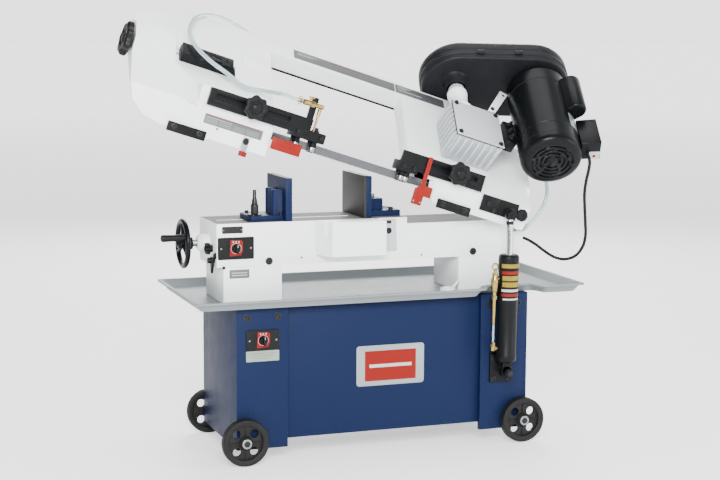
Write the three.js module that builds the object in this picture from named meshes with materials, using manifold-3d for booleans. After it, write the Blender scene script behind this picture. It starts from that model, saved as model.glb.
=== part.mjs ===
// Horizontal metal-cutting band saw on a cabinet stand. Millimetres, +Z up.
// +X runs along the bed towards the saw head's pivot, -Y is the operator's side.
import * as THREE from 'three';
import { mergeVertices } from 'three/addons/utils/BufferGeometryUtils.js';
import { ConvexGeometry } from 'three/addons/geometries/ConvexGeometry.js';
import Module from 'manifold-3d';

const wasm = await Module();
wasm.setup();
const RAD = Math.PI / 180;

// ---------------------------------------------------------------- driving dimensions
const GAP = 0.3;                    // gap between pieces that touch
const FAR = 900;                    // reach of a cutting tool that runs right through

const STAND_X = 385;                // half length of the stand
const LEG_W = 129;                  // width of one end cabinet
const STAND_Y = 160;                // half depth of the stand
const STAND_Z = [35, 385];          // lower edge and top of the stand
const SHEET = 3;                    // sheet metal of the stand and tray
const PANEL_Y = 146.7;              // outer face of the front and rear panels
const CASTER_R = 57.5;              // radius of the stand's wheels
const CASTER_X = 368;               // wheel axle from the stand's centre
const CASTER_Y = [163, 187];        // inner and outer face of a stand wheel
const AXLE_R = 7.2;

const TRAY_X = [-476, 508];         // tray floor
const TRAY_Y = 184;
const TRAY_Z = [385.3, 407];        // underside and rim
const TRAY_FLARE = 14;              // how far the rim stands outside the floor
const TRAY_LIP = 6;

const BED_X = [-420, 390];
const BED_Y = [-115, 50];
const BED_Z = [478, 584];           // underside and table top
const STEP_X = 70;                  // the table is lower to the right of this
const STEP_Z = 568;
const BRACKET_X = 345;              // start of the pivot bracket's seat
const SEAT_Z = 530;
const PEDESTAL_Z = [388.6, 477.7];
const SLOT_Y = [-45, -33];          // vise slot in the table
const SCREW = { y: -33, z: 530, r: 8 };
const JAW_TOP = 690;
const HANDWHEEL_X = -483;

const PIVOT = { x: 386, z: 550, r: 8 };
const HEAD_RAISE = 18 * RAD;        // how far the head is raised at rest
const WHEEL_TILT = 50 * RAD;        // the band wheels' plane leans back by this
const CUT_Y = -155;                 // blade line in the cutting zone
const BLADE_Z = 25;                 // blade centre above the pivot, head lowered
const WHEEL_R = 148.6;
const DRIVE_X = -195;               // drive wheel from the pivot, head lowered
const IDLER_X = -905;
const FACE = -30;                   // casting's front face, along the wheel axis
const BACK = 12;                    // casting's open back, along the wheel axis
const SKIRT_Y = [-177, -167];       // front and back of the upright skirts
const BEAM_Z = [127, 180];

const BAND = { width: 19, thick: 0.9, r: 149.95, twist: 40 * RAD };
const WORM = { x: -230, y: -90, r: 11 };
const GUARD = { left: [-210, -78], right: [-34, -147], r: 103, z: [184, 206, 250] };
const MOTOR = { x: -28, y: -160, r: 78, z: [-80, 183.7] };
const TENSION_Y = -26;              // tension screw, along the casting's face
const FEED_PIN = { x: -79, z: 18 }; // upper cylinder pin from the pivot, head lowered
const FEED = { x: 310, y: -195, z: 190, r: 26 };   // lower cylinder pin

// ---------------------------------------------------------------- materials
const finish = (color, roughness, metalness = 0) =>
  new THREE.MeshStandardMaterial({ color, roughness, metalness });
const BLUE = [0x24356d, 0.45];
const WHITE = [0xe9ebeb, 0.4];
const BLACK = [0x17181a, 0.45];
const RUBBER = [0x1c1c1d, 0.8];
const STEEL = [0x8f9295, 0.35, 0.9];
const CHROME = [0xd0d3d6, 0.15, 1];
const IRON = [0x6d7073, 0.5, 0.8];
const BRASS = [0xc9a850, 0.3, 1];
const HOSE = [0xc8d6da, 0.2];

// ---------------------------------------------------------------- solid modelling helpers
function toSolid(geometry) {
  const bare = geometry.clone();
  for (const key of ['normal', 'uv']) bare.deleteAttribute(key);
  const merged = mergeVertices(bare, 1e-4);
  const index = merged.getIndex().array;
  const triangles = [];
  for (let i = 0; i < index.length; i += 3) {
    const [a, b, c] = [index[i], index[i + 1], index[i + 2]];
    if (a !== b && b !== c && c !== a) triangles.push(a, b, c);
  }
  return new wasm.Manifold(new wasm.Mesh({
    numProp: 3,
    vertProperties: new Float32Array(merged.getAttribute('position').array),
    triVerts: new Uint32Array(triangles),
  }));
}

function toGeometry(solid) {
  const mesh = solid.getMesh();
  const geometry = new THREE.BufferGeometry();
  geometry.setAttribute('position', new THREE.BufferAttribute(mesh.vertProperties, 3));
  geometry.setIndex(new THREE.BufferAttribute(mesh.triVerts, 1));
  return geometry;
}

const fold = (operation, first, rest) =>
  toGeometry(rest.reduce((sum, next) => sum[operation](toSolid(next)), toSolid(first)));
const join = (first, ...rest) => fold('add', first, rest);
const cut = (first, ...rest) => fold('subtract', first, rest);

const AXES = {
  x: [new THREE.Vector3(0, 1, 0), new THREE.Vector3(0, 0, 1), new THREE.Vector3(1, 0, 0)],
  y: [new THREE.Vector3(1, 0, 0), new THREE.Vector3(0, 0, 1), new THREE.Vector3(0, -1, 0)],
  z: [new THREE.Vector3(1, 0, 0), new THREE.Vector3(0, 1, 0), new THREE.Vector3(0, 0, 1)],
};

// Extrudes an outline along an axis between two places on it. The outline's two
// coordinates are the other two axes in order: (y, z), (x, z) or (x, y).
function prism(outline, axis, [low, high], holes = []) {
  const shape = new THREE.Shape(outline.map(([u, v]) => new THREE.Vector2(u, v)));
  shape.holes = holes.map((hole) => new THREE.Path(hole.map(([u, v]) => new THREE.Vector2(u, v))));
  const geometry = new THREE.ExtrudeGeometry(shape, { depth: high - low, bevelEnabled: false });
  geometry.applyMatrix4(new THREE.Matrix4().makeBasis(...AXES[axis]));
  const start = { x: [low, 0, 0], y: [0, high, 0], z: [0, 0, low] }[axis];
  return geometry.translate(...start);
}

const box = ([x0, x1], [y0, y1], [z0, z1]) =>
  new THREE.BoxGeometry(x1 - x0, y1 - y0, z1 - z0)
    .translate((x0 + x1) / 2, (y0 + y1) / 2, (z0 + z1) / 2);

function arc([u, v], r, from, to, steps) {
  const points = [];
  for (let i = 0; i <= steps; i += 1) {
    const a = (from + (to - from) * i / steps) * RAD;
    points.push([u + r * Math.cos(a), v + r * Math.sin(a)]);
  }
  return points;
}

const circle = (centre, r, sides = 24) => arc(centre, r, 0, 360 * (1 - 1 / sides), sides - 1);
const rod = (axis, centre, r, span, sides = 24) => prism(circle(centre, r, sides), axis, span);
const ring = (axis, centre, [inner, outer], span, sides = 24) =>
  prism(circle(centre, outer, sides), axis, span, [circle(centre, inner, sides).reverse()]);
const hull = (points) => new ConvexGeometry(points.map((p) => new THREE.Vector3(...p)));

// Rounds the corners of a closed outline.
function rounded(corners, radius, steps = 4) {
  const points = [];
  corners.forEach((corner, i) => {
    const c = new THREE.Vector2(...corner);
    const before = new THREE.Vector2(...corners.at(i - 1));
    const after = new THREE.Vector2(...corners[(i + 1) % corners.length]);
    const a = c.clone().add(before.sub(c).setLength(radius));
    const b = c.clone().add(after.sub(c).setLength(radius));
    const curve = new THREE.QuadraticBezierCurve(a, c, b);
    for (const p of curve.getPoints(steps)) points.push([p.x, p.y]);
  });
  return points;
}

// Solid of revolution: the profile's points are (radius, place along the axis).
function turned(profile, axis, [u, v], segments = 32) {
  const points = profile.map(([r, h]) => new THREE.Vector2(r, h));
  const geometry = new THREE.LatheGeometry(points, segments);
  if (axis === 'x') return geometry.rotateZ(-Math.PI / 2).translate(0, u, v);
  if (axis === 'z') return geometry.rotateX(Math.PI / 2).translate(u, v, 0);
  return geometry.translate(u, 0, v);
}

// Skin between two outlines with the same number of points, at two heights.
function loft(lower, upper, [low, high]) {
  const n = lower.length;
  const points = [...lower.map(([x, y]) => [x, y, low]), ...upper.map(([x, y]) => [x, y, high])];
  const index = [];
  const flat = lower.map(([x, y]) => new THREE.Vector2(x, y));
  for (const [a, b, c] of THREE.ShapeUtils.triangulateShape(flat, [])) {
    index.push(a, c, b, n + a, n + b, n + c);
  }
  for (let i = 0; i < n; i += 1) {
    const j = (i + 1) % n;
    index.push(i, j, n + j, i, n + j, n + i);
  }
  const geometry = new THREE.BufferGeometry();
  geometry.setAttribute('position', new THREE.Float32BufferAttribute(points.flat(), 3));
  geometry.setIndex(index);
  return geometry;
}

// Round tube through hand-placed points.
function tube(points, radius, steps, sides) {
  const path = new THREE.CatmullRomCurve3(points.map((p) => new THREE.Vector3(...p)), false, 'centripetal');
  const shape = new THREE.Shape(circle([0, 0], radius, sides).map(([u, v]) => new THREE.Vector2(u, v)));
  return new THREE.ExtrudeGeometry(shape, { steps, bevelEnabled: false, extrudePath: path });
}

function part(parent, name, [color, roughness, metalness], geometry) {
  const mesh = new THREE.Mesh(geometry, finish(color, roughness, metalness));
  mesh.name = name;
  parent.add(mesh);
  return mesh;
}

// ---------------------------------------------------------------- frames
const bandSaw = new THREE.Group();
const machine = new THREE.Group();
const head = new THREE.Group();
const bow = new THREE.Group();
bandSaw.add(machine);
machine.add(head);
head.add(bow);
head.position.set(PIVOT.x, 0, PIVOT.z);
head.rotation.y = HEAD_RAISE;
// In the bow's frame X is the head's length, Y the band wheels' axis (pointing to
// the open back) and Z points up in the wheels' plane, from the wheels' centres.
bow.position.set(0, CUT_Y + 150 * Math.sin(WHEEL_TILT), BLADE_Z + 150 * Math.cos(WHEEL_TILT));
bow.rotation.x = -WHEEL_TILT;
bow.updateMatrix();
const bowToHead = bow.matrix.clone();
const headToBow = bowToHead.clone().invert();
const upright = (geometry) => geometry.applyMatrix4(headToBow);
const uprightPoint = (p) => new THREE.Vector3(...p).applyMatrix4(headToBow).toArray();

// ---------------------------------------------------------------- stand
const mirrored = (side, a, b) => (side < 0 ? [-b, -a] : [a, b]);

function cabinet(side) {
  const inner = STAND_X - LEG_W;
  const shell = cut(
    box(mirrored(side, inner, STAND_X), [-STAND_Y, STAND_Y], STAND_Z),
    box(mirrored(side, inner - 10, STAND_X - SHEET), [SHEET - STAND_Y, STAND_Y - SHEET],
      [STAND_Z[0] - 10, STAND_Z[1] - SHEET]),
  );
  const lips = [-1, 1].map((y) => box(
    mirrored(side, inner, inner + SHEET),
    mirrored(y, PANEL_Y + GAP, STAND_Y - 1),
    STAND_Z,
  ));
  return cut(join(shell, ...lips), rod('y', [side * CASTER_X, CASTER_R], AXLE_R + 0.4, [-FAR, FAR]));
}

function standPanel(side) {
  return box([-275, 275], mirrored(side, PANEL_Y - SHEET, PANEL_Y), [53, STAND_Z[1] - SHEET - GAP]);
}

function caster(x, side) {
  const [near, far] = CASTER_Y;
  const middle = (near + far) / 2;
  const bore = AXLE_R + 0.3;
  const profile = [
    [bore, near], [16, near], [16, middle - 4], [43, middle - 4], [45, near + 1], [CASTER_R - 2, near],
    [CASTER_R, near + 3], [CASTER_R, far - 3], [CASTER_R - 2, far], [45, far - 1], [43, middle + 4],
    [16, middle + 4], [16, far], [bore, far], [bore, near],
  ];
  const disc = turned(profile, 'y', [0, 0], 24);
  const holes = [45, 135, 225, 315].map((a) =>
    rod('y', [30.5 * Math.cos(a * RAD), 30.5 * Math.sin(a * RAD)], 10, [near, far], 8));
  const wheel = cut(disc, ...holes);
  if (side < 0) wheel.rotateZ(Math.PI);
  return wheel.translate(x, 0, CASTER_R);
}

function axle(x) {
  const reach = CASTER_Y[1] + GAP;
  return join(
    rod('y', [x, CASTER_R], AXLE_R, [-reach - 4, reach + 4]),
    rod('y', [x, CASTER_R], 12, [-reach - 5, -reach]),
    rod('y', [x, CASTER_R], 12, [reach, reach + 5]),
  );
}

function coolantTank() {
  const tub = cut(box([-120, 120], [-110, 110], [63.3, 170]), box([-117, 117], [-107, 107], [66.3, 200]));
  const lid = box([-118, 0], [-108, 108], [167, 170]);
  const pump = rod('z', [-60, 0], 42, [169, 262]);
  const strainer = rod('z', [-60, 0], 20, [80, 168]);
  return join(tub, lid, pump, strainer);
}

for (const [side, word] of [[-1, 'left'], [1, 'right']]) {
  part(machine, `stand_${word}_cabinet`, BLUE, cabinet(side));
  part(machine, `${word}_axle`, STEEL, axle(side * CASTER_X));
  part(machine, `front_${word}_caster`, RUBBER, caster(side * CASTER_X, -1));
  part(machine, `rear_${word}_caster`, RUBBER, caster(side * CASTER_X, 1));
}
part(machine, 'stand_front_panel', BLUE, standPanel(-1));
// The rear panel's sheet is folded forwards at the bottom and makes the shelf.
part(machine, 'stand_rear_panel', BLUE,
  join(standPanel(1), box([-275, 275], [-143.4, 146], [60, 60 + SHEET])));
part(machine, 'coolant_tank', IRON, coolantTank());

// ---------------------------------------------------------------- chip tray
// Outline of the tray, grown outwards; its front edge steps in around the cylinder.
const trayOutline = (grow) => rounded([
  [TRAY_X[0] - grow, -TRAY_Y - grow], [234 + grow, -TRAY_Y - grow],
  [248 + grow, -140 - grow], [409 - grow, -140 - grow],
  [423 - grow, -TRAY_Y - grow], [TRAY_X[1] + grow, -TRAY_Y - grow],
  [TRAY_X[1] + grow, TRAY_Y + grow], [TRAY_X[0] - grow, TRAY_Y + grow],
], 14);

function tray() {
  const above = 3;
  const rise = (TRAY_Z[1] - TRAY_Z[0] + above) / (TRAY_Z[1] - TRAY_Z[0]);
  const pan = cut(
    loft(trayOutline(0), trayOutline(TRAY_FLARE), TRAY_Z),
    loft(trayOutline(-SHEET), trayOutline(TRAY_FLARE * rise - SHEET),
      [TRAY_Z[0] + SHEET, TRAY_Z[1] + above]),
  );
  const lip = prism(trayOutline(TRAY_FLARE + TRAY_LIP), 'z', [TRAY_Z[1] - 4, TRAY_Z[1]],
    [trayOutline(TRAY_FLARE - 2.5).reverse()]);
  return join(pan, lip);
}
part(machine, 'chip_tray', WHITE, tray());

// ---------------------------------------------------------------- bed
function bed() {
  const [back, front] = [BED_Y[1], BED_Y[0]];
  const body = box(BED_X, BED_Y, BED_Z);
  const bulge = prism(
    [[-172, front + 1], [-146, -175], [-7, -175], [-7, front + 1]], 'z', [500, BED_Z[1]]);
  const boss = rod('x', [SCREW.y, SCREW.z], 22, [-438, BED_X[0] + 1]);
  const hollows = [
    box([-408, STEP_X - 10], [front + 12, back - 12], [BED_Z[0] - 10, BED_Z[1] - 12]),
    box([STEP_X - 12, 333], [front + 12, back - 12], [BED_Z[0] - 10, STEP_Z - 12]),
  ];
  return cut(
    join(body, bulge, boss),
    ...hollows,
    box([STEP_X, FAR], [-FAR, FAR], [STEP_Z, FAR]),
    box([BRACKET_X, FAR], [-FAR, FAR], [SEAT_Z, FAR]),
    box([-400, -60], SLOT_Y, [560, FAR]),
    box([-200, 20], [-164, -146], [550, FAR]),
    rod('x', [SCREW.y, SCREW.z], SCREW.r + 0.4, [-450, -400]),
  );
}
part(machine, 'bed_casting', WHITE, bed());

function pedestal([x0, x1]) {
  const wall = 8;
  return cut(
    box([x0, x1], [BED_Y[0] - 3, BED_Y[1]], PEDESTAL_Z),
    box([x0 + wall, x1 - wall], [BED_Y[0] + wall, BED_Y[1] - wall], [PEDESTAL_Z[0] - 10, PEDESTAL_Z[1] - wall]),
  );
}
part(machine, 'left_pedestal', WHITE, pedestal([-405, -257]));
part(machine, 'right_pedestal', WHITE, pedestal([211, 350]));

// ---------------------------------------------------------------- vise
const TABLE = BED_Z[1] + GAP;

function fixedJaw() {
  return cut(
    join(
      box([-36.7, -22], [-110, 52], [TABLE, JAW_TOP - 1]),
      box([-23, 66], [-80, 20], [TABLE, 599]),
      box([-23, 24], [-66, -4], [598, 628]),
    ),
    box([30, 58], [-36, -24], [TABLE - 1, 700]),
  );
}
part(machine, 'fixed_jaw', BLUE, fixedJaw());
part(machine, 'fixed_jaw_plate', IRON, box([-43, -37], [-112, 54], [TABLE, JAW_TOP]));

function movingJaw() {
  const base = prism(rounded([[-333, -97], [-240, -97], [-240, 0], [-333, 0]], 12), 'z', [TABLE, 598]);
  const post = (y) => join(
    rod('z', [-264, y], 9, [597, 660], 16),
    box([-264, -246], [y - 9, y + 9], [597, 660]),
  );
  const lug = box([-300, -262], [SLOT_Y[0] + 1.5, SLOT_Y[1] - 1.5], [540, TABLE + 1]);
  const nut = cut(
    box([-312, -250], [-55, -11], [510, 548]),
    rod('x', [SCREW.y, SCREW.z], SCREW.r + 0.4, [-FAR, FAR]),
  );
  return join(box([-247, -231], [-118, 42], [TABLE, JAW_TOP]), base, post(-78), post(-30), lug, nut);
}
part(machine, 'moving_jaw', BLUE, movingJaw());
part(machine, 'vise_screw', STEEL, rod('x', [SCREW.y, SCREW.z], SCREW.r, [HANDWHEEL_X + 22.3, -70]));

function handwheel() {
  const rim = new THREE.TorusGeometry(54.5, 6.5, 8, 24).rotateY(Math.PI / 2);
  const spokes = [90, 210, 330].map((a) =>
    rod('z', [0, 0], 5, [10, 54], 10).rotateX(a * RAD));
  const hub = rod('x', [0, 0], 15, [-14, 22]);
  return join(rim, hub, ...spokes).translate(HANDWHEEL_X, SCREW.y, SCREW.z);
}
part(machine, 'vise_handwheel', BLACK, handwheel());
part(machine, 'handwheel_grip', BLACK, turned(
  [[0, -549], [7, -549], [9, -545], [8, -520], [8.5, -500], [6, HANDWHEEL_X - 7], [0, HANDWHEEL_X - 7]],
  'x', [SCREW.y - 50.5, SCREW.z + 20.5], 16));

function viseLever() {
  const outline = [[-104, 502], [-86, 502], [-88, 484], [-94, 462], [-106, 484]];
  return join(prism(outline, 'x', [-430, -424]), rod('x', [-95, 494], 7, [-438, BED_X[0] - GAP], 16));
}
part(machine, 'vise_lever', BLACK, viseLever());

// ---------------------------------------------------------------- switches
function switchKnob(x, z, front) {
  return join(
    rod('y', [x, z], 11, [front - 8, front]),
    box([x - 3.5, x + 3.5], [front - 17, front - 7], [z - 11, z + 11]),
  );
}
part(machine, 'bed_switch_knob', BLACK, switchKnob(-373, 524, -119.5));
part(machine, 'stand_switch_knob', BLACK, switchKnob(-319, 304, -164.5));

// ---------------------------------------------------------------- head pivot
function pivotBracket() {
  const ear = (span) => join(
    box([372, 400], span, [SEAT_Z + 2, PIVOT.z]),
    rod('y', [PIVOT.x, PIVOT.z], 16, span),
  );
  const base = box([BRACKET_X + 1, 401], BED_Y, [SEAT_Z + GAP, 536]);
  return cut(join(base, ear([-115, -104]), ear([35, 50])), rod('y', [PIVOT.x, PIVOT.z], PIVOT.r + 0.4, [-FAR, FAR]));
}
part(machine, 'pivot_bracket', WHITE, pivotBracket());
part(machine, 'pivot_shaft', STEEL, join(
  rod('y', [PIVOT.x, PIVOT.z], PIVOT.r, [-119, 54]),
  rod('y', [PIVOT.x, PIVOT.z], 13, [-122, BED_Y[0] - GAP]),
  rod('y', [PIVOT.x, PIVOT.z], 13, [BED_Y[1] + GAP, 57]),
));

// ---------------------------------------------------------------- feed cylinder
part(machine, 'cylinder_lower_bracket', BLACK, join(
  box([280, 340], [-167, -STAND_Y - GAP], [158, 232]),
  rod('y', [FEED.x, FEED.z], 7, [-218, -166]),
  rod('y', [FEED.x, FEED.z], 13, [-222, -214], 6),
));

// The cylinder leans so that its axis runs through the upper pin.
const pinX = FEED_PIN.x * Math.cos(HEAD_RAISE) + FEED_PIN.z * Math.sin(HEAD_RAISE) + PIVOT.x - FEED.x;
const pinZ = FEED_PIN.z * Math.cos(HEAD_RAISE) - FEED_PIN.x * Math.sin(HEAD_RAISE) + PIVOT.z - FEED.z;
const feedLength = Math.hypot(pinX, pinZ);
const feed = new THREE.Group();
feed.position.set(FEED.x, FEED.y, FEED.z);
feed.rotation.y = Math.atan2(pinX, pinZ);
machine.add(feed);

function feedCylinder() {
  const barrel = cut(
    join(
      turned([[0, 26], [FEED.r - 3, 26], [FEED.r, 30], [FEED.r, 296], [FEED.r - 4, 300], [0, 300]], 'z', [0, 0]),
      box([-12, 12], [-9, 9], [0, 30]),
      rod('y', [0, 0], 15, [-9, 9]),
    ),
    rod('z', [0, 0], 18, [40, 285]),
    rod('z', [0, 0], 8.5, [280, 310]),
    rod('y', [0, 0], 7.5, [-20, 20]),
  );
  return barrel;
}
part(feed, 'feed_cylinder', BLACK, feedCylinder());

function feedRod() {
  const eyeOuter = 15;
  const piston = rod('z', [0, 0], 17.5, [108, 128]);
  const shank = rod('z', [0, 0], 8, [120, feedLength - eyeOuter + 3]);
  const eye = ring('y', [0, feedLength], [11, eyeOuter], [-5, 5]);
  return join(piston, shank, eye);
}
part(feed, 'feed_rod', CHROME, feedRod());

function feedValveLine() {
  const x = -37;
  const line = join(
    rod('z', [x, 0], 4, [62, 190], 12),
    rod('x', [0, 62], 5, [x, -FEED.r - GAP], 12),
    rod('z', [x, 0], 6.5, [56, 74], 12),
    rod('z', [x, 0], 7.5, [186, 214], 12),
    rod('x', [0, 240], 5, [x, -FEED.r - GAP], 12),
    rod('z', [x, 0], 10, [213, 254], 16),
  );
  return line;
}
part(feed, 'feed_valve_body', BRASS, feedValveLine());
part(feed, 'feed_valve_knob', BRASS, join(
  rod('z', [-37, 0], 4, [254.3, 264], 12),
  box([-47, -27], [-2.5, 2.5], [262, 280]),
));

// ---------------------------------------------------------------- bow casting
const leftEnd = (r, flat) => [...arc([IDLER_X, 0], r, 90, 270, 22), [flat, -r], [flat, r]];
const LEFT_CORNER = [...arc([-1048, 84], 40, 90, 180, 5), [-1088, 10]];
const rightEnd = (r, flat) => [...arc([DRIVE_X, 0], r, -90, 90, 22), [flat, r], [flat, -90], [flat + 67, -150]];
const atDepths = (outline, depths) => depths.flatMap((y) => outline.map(([x, z]) => [x, y, z]));
const skirtPoints = (outline, depths) =>
  depths.flatMap((y) => outline.map(([x, z]) => uprightPoint([x, y, z])));

const LEFT_SKIRT = [[-731, -28], [-1000, -28], [-1045, -17], [-1075, 8], [-1090, 45], [-731, 45.5]];
const RIGHT_SKIRT = [[-284, -12], [-26, -12], [-20, 20], [-20, 45.5], [-284, 45.5]];

function housing(end, skirt, r) {
  const solid = hull([
    ...atDepths(end.outer, [FACE, BACK]),
    ...skirtPoints(skirt, SKIRT_Y),
  ]);
  return cut(solid,
    upright(box([-FAR * 2, FAR], [-FAR, SKIRT_Y[0]], [-FAR, FAR])),
    box([-FAR * 2, FAR], [-FAR, FAR], [Math.min(BEAM_Z[1], r), FAR]),
    box([-FAR * 2, FAR], [BACK, FAR], [-172, FAR]));
}

function housingRoom(end, skirt) {
  const room = hull([
    ...atDepths(end.inner, [FACE + 8, BACK + 40]),
    ...skirtPoints(skirt, [SKIRT_Y[1]]),
  ]);
  return cut(room,
    upright(box([-FAR * 2, FAR], [-FAR, SKIRT_Y[1]], [-FAR, FAR])),
    box([-FAR * 2, FAR], [-FAR, FAR], [BEAM_Z[1] - 8, FAR]));
}

function bowCasting() {
  const left = { outer: [...leftEnd(180, -730), ...LEFT_CORNER], inner: leftEnd(172, -742) };
  const right = { outer: rightEnd(176, -362), inner: rightEnd(164, -349) };
  const outside = join(
    housing(left, LEFT_SKIRT, 180),
    housing(right, RIGHT_SKIRT, 176),
    box([-740, -350], [FACE, BACK], BEAM_Z),
    tensionPad(),
    upright(box([-925, -731], [SKIRT_Y[0], -128], [40, 90])),
    upright(box([-330, -175], [SKIRT_Y[0], -130], [40, 90])),
    box([-650, -615], [-20, 2], [BEAM_Z[1] - 2, 200]),
    pivotArm(),
  );
  return cut(
    outside,
    housingRoom(left, [[-743, -110], [-990, -110], [-1036, -4], [-1064, 18], [-1076, 46], [-743, 46]]),
    housingRoom(right, [[-272, -90], [-36, -90], [-32, 20], [-32, 48], [-272, 48]]),
    box([-750, -340], [FACE + 8, BACK + 20], [BEAM_Z[0] + 7, BEAM_Z[1] - 7]),
    upright(box([-750, -725], [SKIRT_Y[1], -138], [-40, 46])),
    upright(box([-360, -270], [SKIRT_Y[1], -138], [-40, 46])),
    box([-985, -815], [FACE - 5, FACE + 15], [-22, 22]),
    rod('x', [TENSION_Y, 0], 6, [-1200, -980]),
    rod('y', [DRIVE_X, 0], 14, [FACE - 10, FACE + 20]),
    upright(rod('y', [0, 0], PIVOT.r + 0.4, [-FAR, FAR])),
    upright(box([-400, -316], [-FAR, -130], [-FAR, 67])),
  );
}

// Raised housing of the tension screw.
function tensionPad() {
  return hull([[-1090, -1090], [-990, -983]].flatMap(([front, back]) => [
    [front, -54, -16], [front, -54, 42], [back, FACE + 2, -50], [back, FACE + 2, 74],
  ]));
}

// Arm from the drive housing's end down to the pivot shaft.
function pivotArm() {
  const boss = atDepths(circle([0, 0], 13, 20), [-98, 33]).map(uprightPoint);
  const root = [-70, 50].flatMap((z) => [FACE + 2, BACK - 2].flatMap((y) => [[-23, y, z], [-5, y, z]]));
  return hull([...boss, ...root]);
}
part(bow, 'bow_casting', WHITE, bowCasting());

// ---------------------------------------------------------------- wheel covers
const COVER_Y = [BACK + GAP, BACK + GAP + SHEET];
const COVER_SEAM = -540;            // where the two covers meet on the beam

function idlerCover() {
  const plate = prism([
    ...arc([IDLER_X, 0], 178, 90, 250, 16), [-735, -166], [-735, 122],
    [COVER_SEAM - GAP, 122], [COVER_SEAM - GAP, 178], [-700, 178],
  ], 'y', COVER_Y);
  const knuckles = [[-800, -750], [-620, -570]].map((span) => rod('x', [16.6, 180.6], 4.2, span, 12));
  return join(plate, ...knuckles);
}
part(bow, 'idler_wheel_cover', BLACK, idlerCover());
part(bow, 'drive_wheel_cover', BLACK, prism([
  [COVER_SEAM, 178], [COVER_SEAM, 122], [-356, 122], [-356, -96], [-290, -156],
  ...arc([DRIVE_X, 0], 169, -96, 90, 16), [-345, 178],
], 'y', COVER_Y));

// ---------------------------------------------------------------- saw blade
// The band runs in the wheels' plane and is twisted upright between the guides.
function bandSections() {
  const sections = [];
  const lower = (x, twist) => sections.push({
    centre: [x, 0, -BAND.r],
    across: [0, Math.cos(twist), -Math.sin(twist)],
    out: [0, -Math.sin(twist), -Math.cos(twist)],
  });
  const smooth = (t) => t * t * (3 - 2 * t);
  const steps = 10;
  for (let i = 0; i <= steps; i += 1) lower(IDLER_X + 275 * i / steps, BAND.twist * smooth(i / steps));
  for (let i = 0; i < steps; i += 1) lower(-350 + 150 * i / steps, BAND.twist * (1 - smooth(i / steps)));
  const bend = (cx, from, to) => arc([cx, 0], BAND.r, from, to, 20).forEach(([x, z]) => {
    const out = [(x - cx) / BAND.r, 0, z / BAND.r];
    sections.push({ centre: [x, 0, z], across: [0, 1, 0], out });
  });
  bend(DRIVE_X, -90, 90);
  bend(IDLER_X, 90, 262);
  return sections;
}

function sawBlade() {
  const corners = [[-1, -1], [1, -1], [1, 1], [-1, 1]];
  const sections = bandSections();
  const points = sections.flatMap(({ centre, across, out }) => corners.map(([u, v]) =>
    centre.map((c, i) => c + across[i] * u * BAND.width / 2 + out[i] * v * BAND.thick / 2)));
  const index = [];
  sections.forEach((_, s) => corners.forEach((__, k) => {
    const [a, b] = [4 * s + k, 4 * s + (k + 1) % 4];
    const next = 4 * ((s + 1) % sections.length);
    index.push(a, next + (k + 1) % 4, b, a, next + k, next + (k + 1) % 4);
  }));
  const geometry = new THREE.BufferGeometry();
  geometry.setAttribute('position', new THREE.Float32BufferAttribute(points.flat(), 3));
  geometry.setIndex(index);
  return geometry;
}
part(bow, 'saw_blade', STEEL, sawBlade());

// ---------------------------------------------------------------- band wheels
function bandWheel(x, bore) {
  const profile = [
    [bore, -12], [24, -12], [24, -5], [132, -5], [134, -11], [WHEEL_R, -11], [WHEEL_R, 11],
    [134, 11], [132, 5], [24, 5], [24, 12], [bore, 12], [bore, -12],
  ];
  const holes = [18, 90, 162, 234, 306].map((a) =>
    rod('y', [80 * Math.cos(a * RAD), 80 * Math.sin(a * RAD)], 24, [-20, 20], 10));
  return cut(turned(profile, 'y', [0, 0], 36), ...holes).translate(x, 0, 0);
}
part(bow, 'idler_wheel', IRON, bandWheel(IDLER_X, 10.4));
part(bow, 'drive_wheel', IRON, bandWheel(DRIVE_X, 12.3));
part(bow, 'drive_shaft', STEEL, join(
  rod('y', [DRIVE_X, 0], 12, [-99, 11.8]),
  rod('y', [DRIVE_X, 0], 23.4, [-99, -81], 36),
));

// ---------------------------------------------------------------- blade tension
function tensionSlide() {
  return join(
    box([-972, -838], [-52, FACE - GAP], [-25, 25]),
    box([-972, -838], [-35, -16], [-21.5, 21.5]),
    rod('y', [IDLER_X, 0], 10, [-20, 11.5]),
  );
}
part(bow, 'tension_slide', BLACK, tensionSlide());
part(bow, 'tension_knob', BLACK, join(
  turned([[0, -1116], [30, -1116], [42, -1111], [43, -1098], [38, -1092], [0, -1092]], 'x', [TENSION_Y, 0], 36),
  rod('x', [TENSION_Y, 0], 5.6, [-1093, -972.4], 16),
));

// ---------------------------------------------------------------- gearbox
function gearbox() {
  const [x, z] = [[-266, -136], [-62, 62]];
  const body = join(box(x, [-116, FACE - GAP], z), rod('z', [WORM.x, WORM.y], 21, [60, 150]));
  return cut(
    body,
    box([x[0] + 9, x[1] - 9], [-130, -42], [z[0] + 9, z[1] - 9]),
    rod('z', [WORM.x, WORM.y], 9.4, [40, 160]),
    rod('y', [DRIVE_X, 0], 14, [-60, 0]),
  );
}
part(bow, 'gearbox_housing', WHITE, gearbox());
part(bow, 'gearbox_cover', WHITE, box([-268, -134], [-120, -116 - GAP], [-64, 64]));
part(bow, 'worm_shaft', STEEL, join(
  rod('z', [WORM.x, WORM.y], 9, [-49, 236]),
  rod('z', [WORM.x, WORM.y], WORM.r, [-28, 28]),
  rod('z', [WORM.x, WORM.y], 52, [213, 236], 36),
));

// ---------------------------------------------------------------- belt guard
const guardOutline = (r) => {
  const tilt = Math.atan2(GUARD.right[1] - GUARD.left[1], GUARD.right[0] - GUARD.left[0]) / RAD;
  return [...arc(GUARD.left, r, tilt + 90, tilt + 270, 16), ...arc(GUARD.right, r, tilt - 90, tilt + 90, 16)];
};

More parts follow.
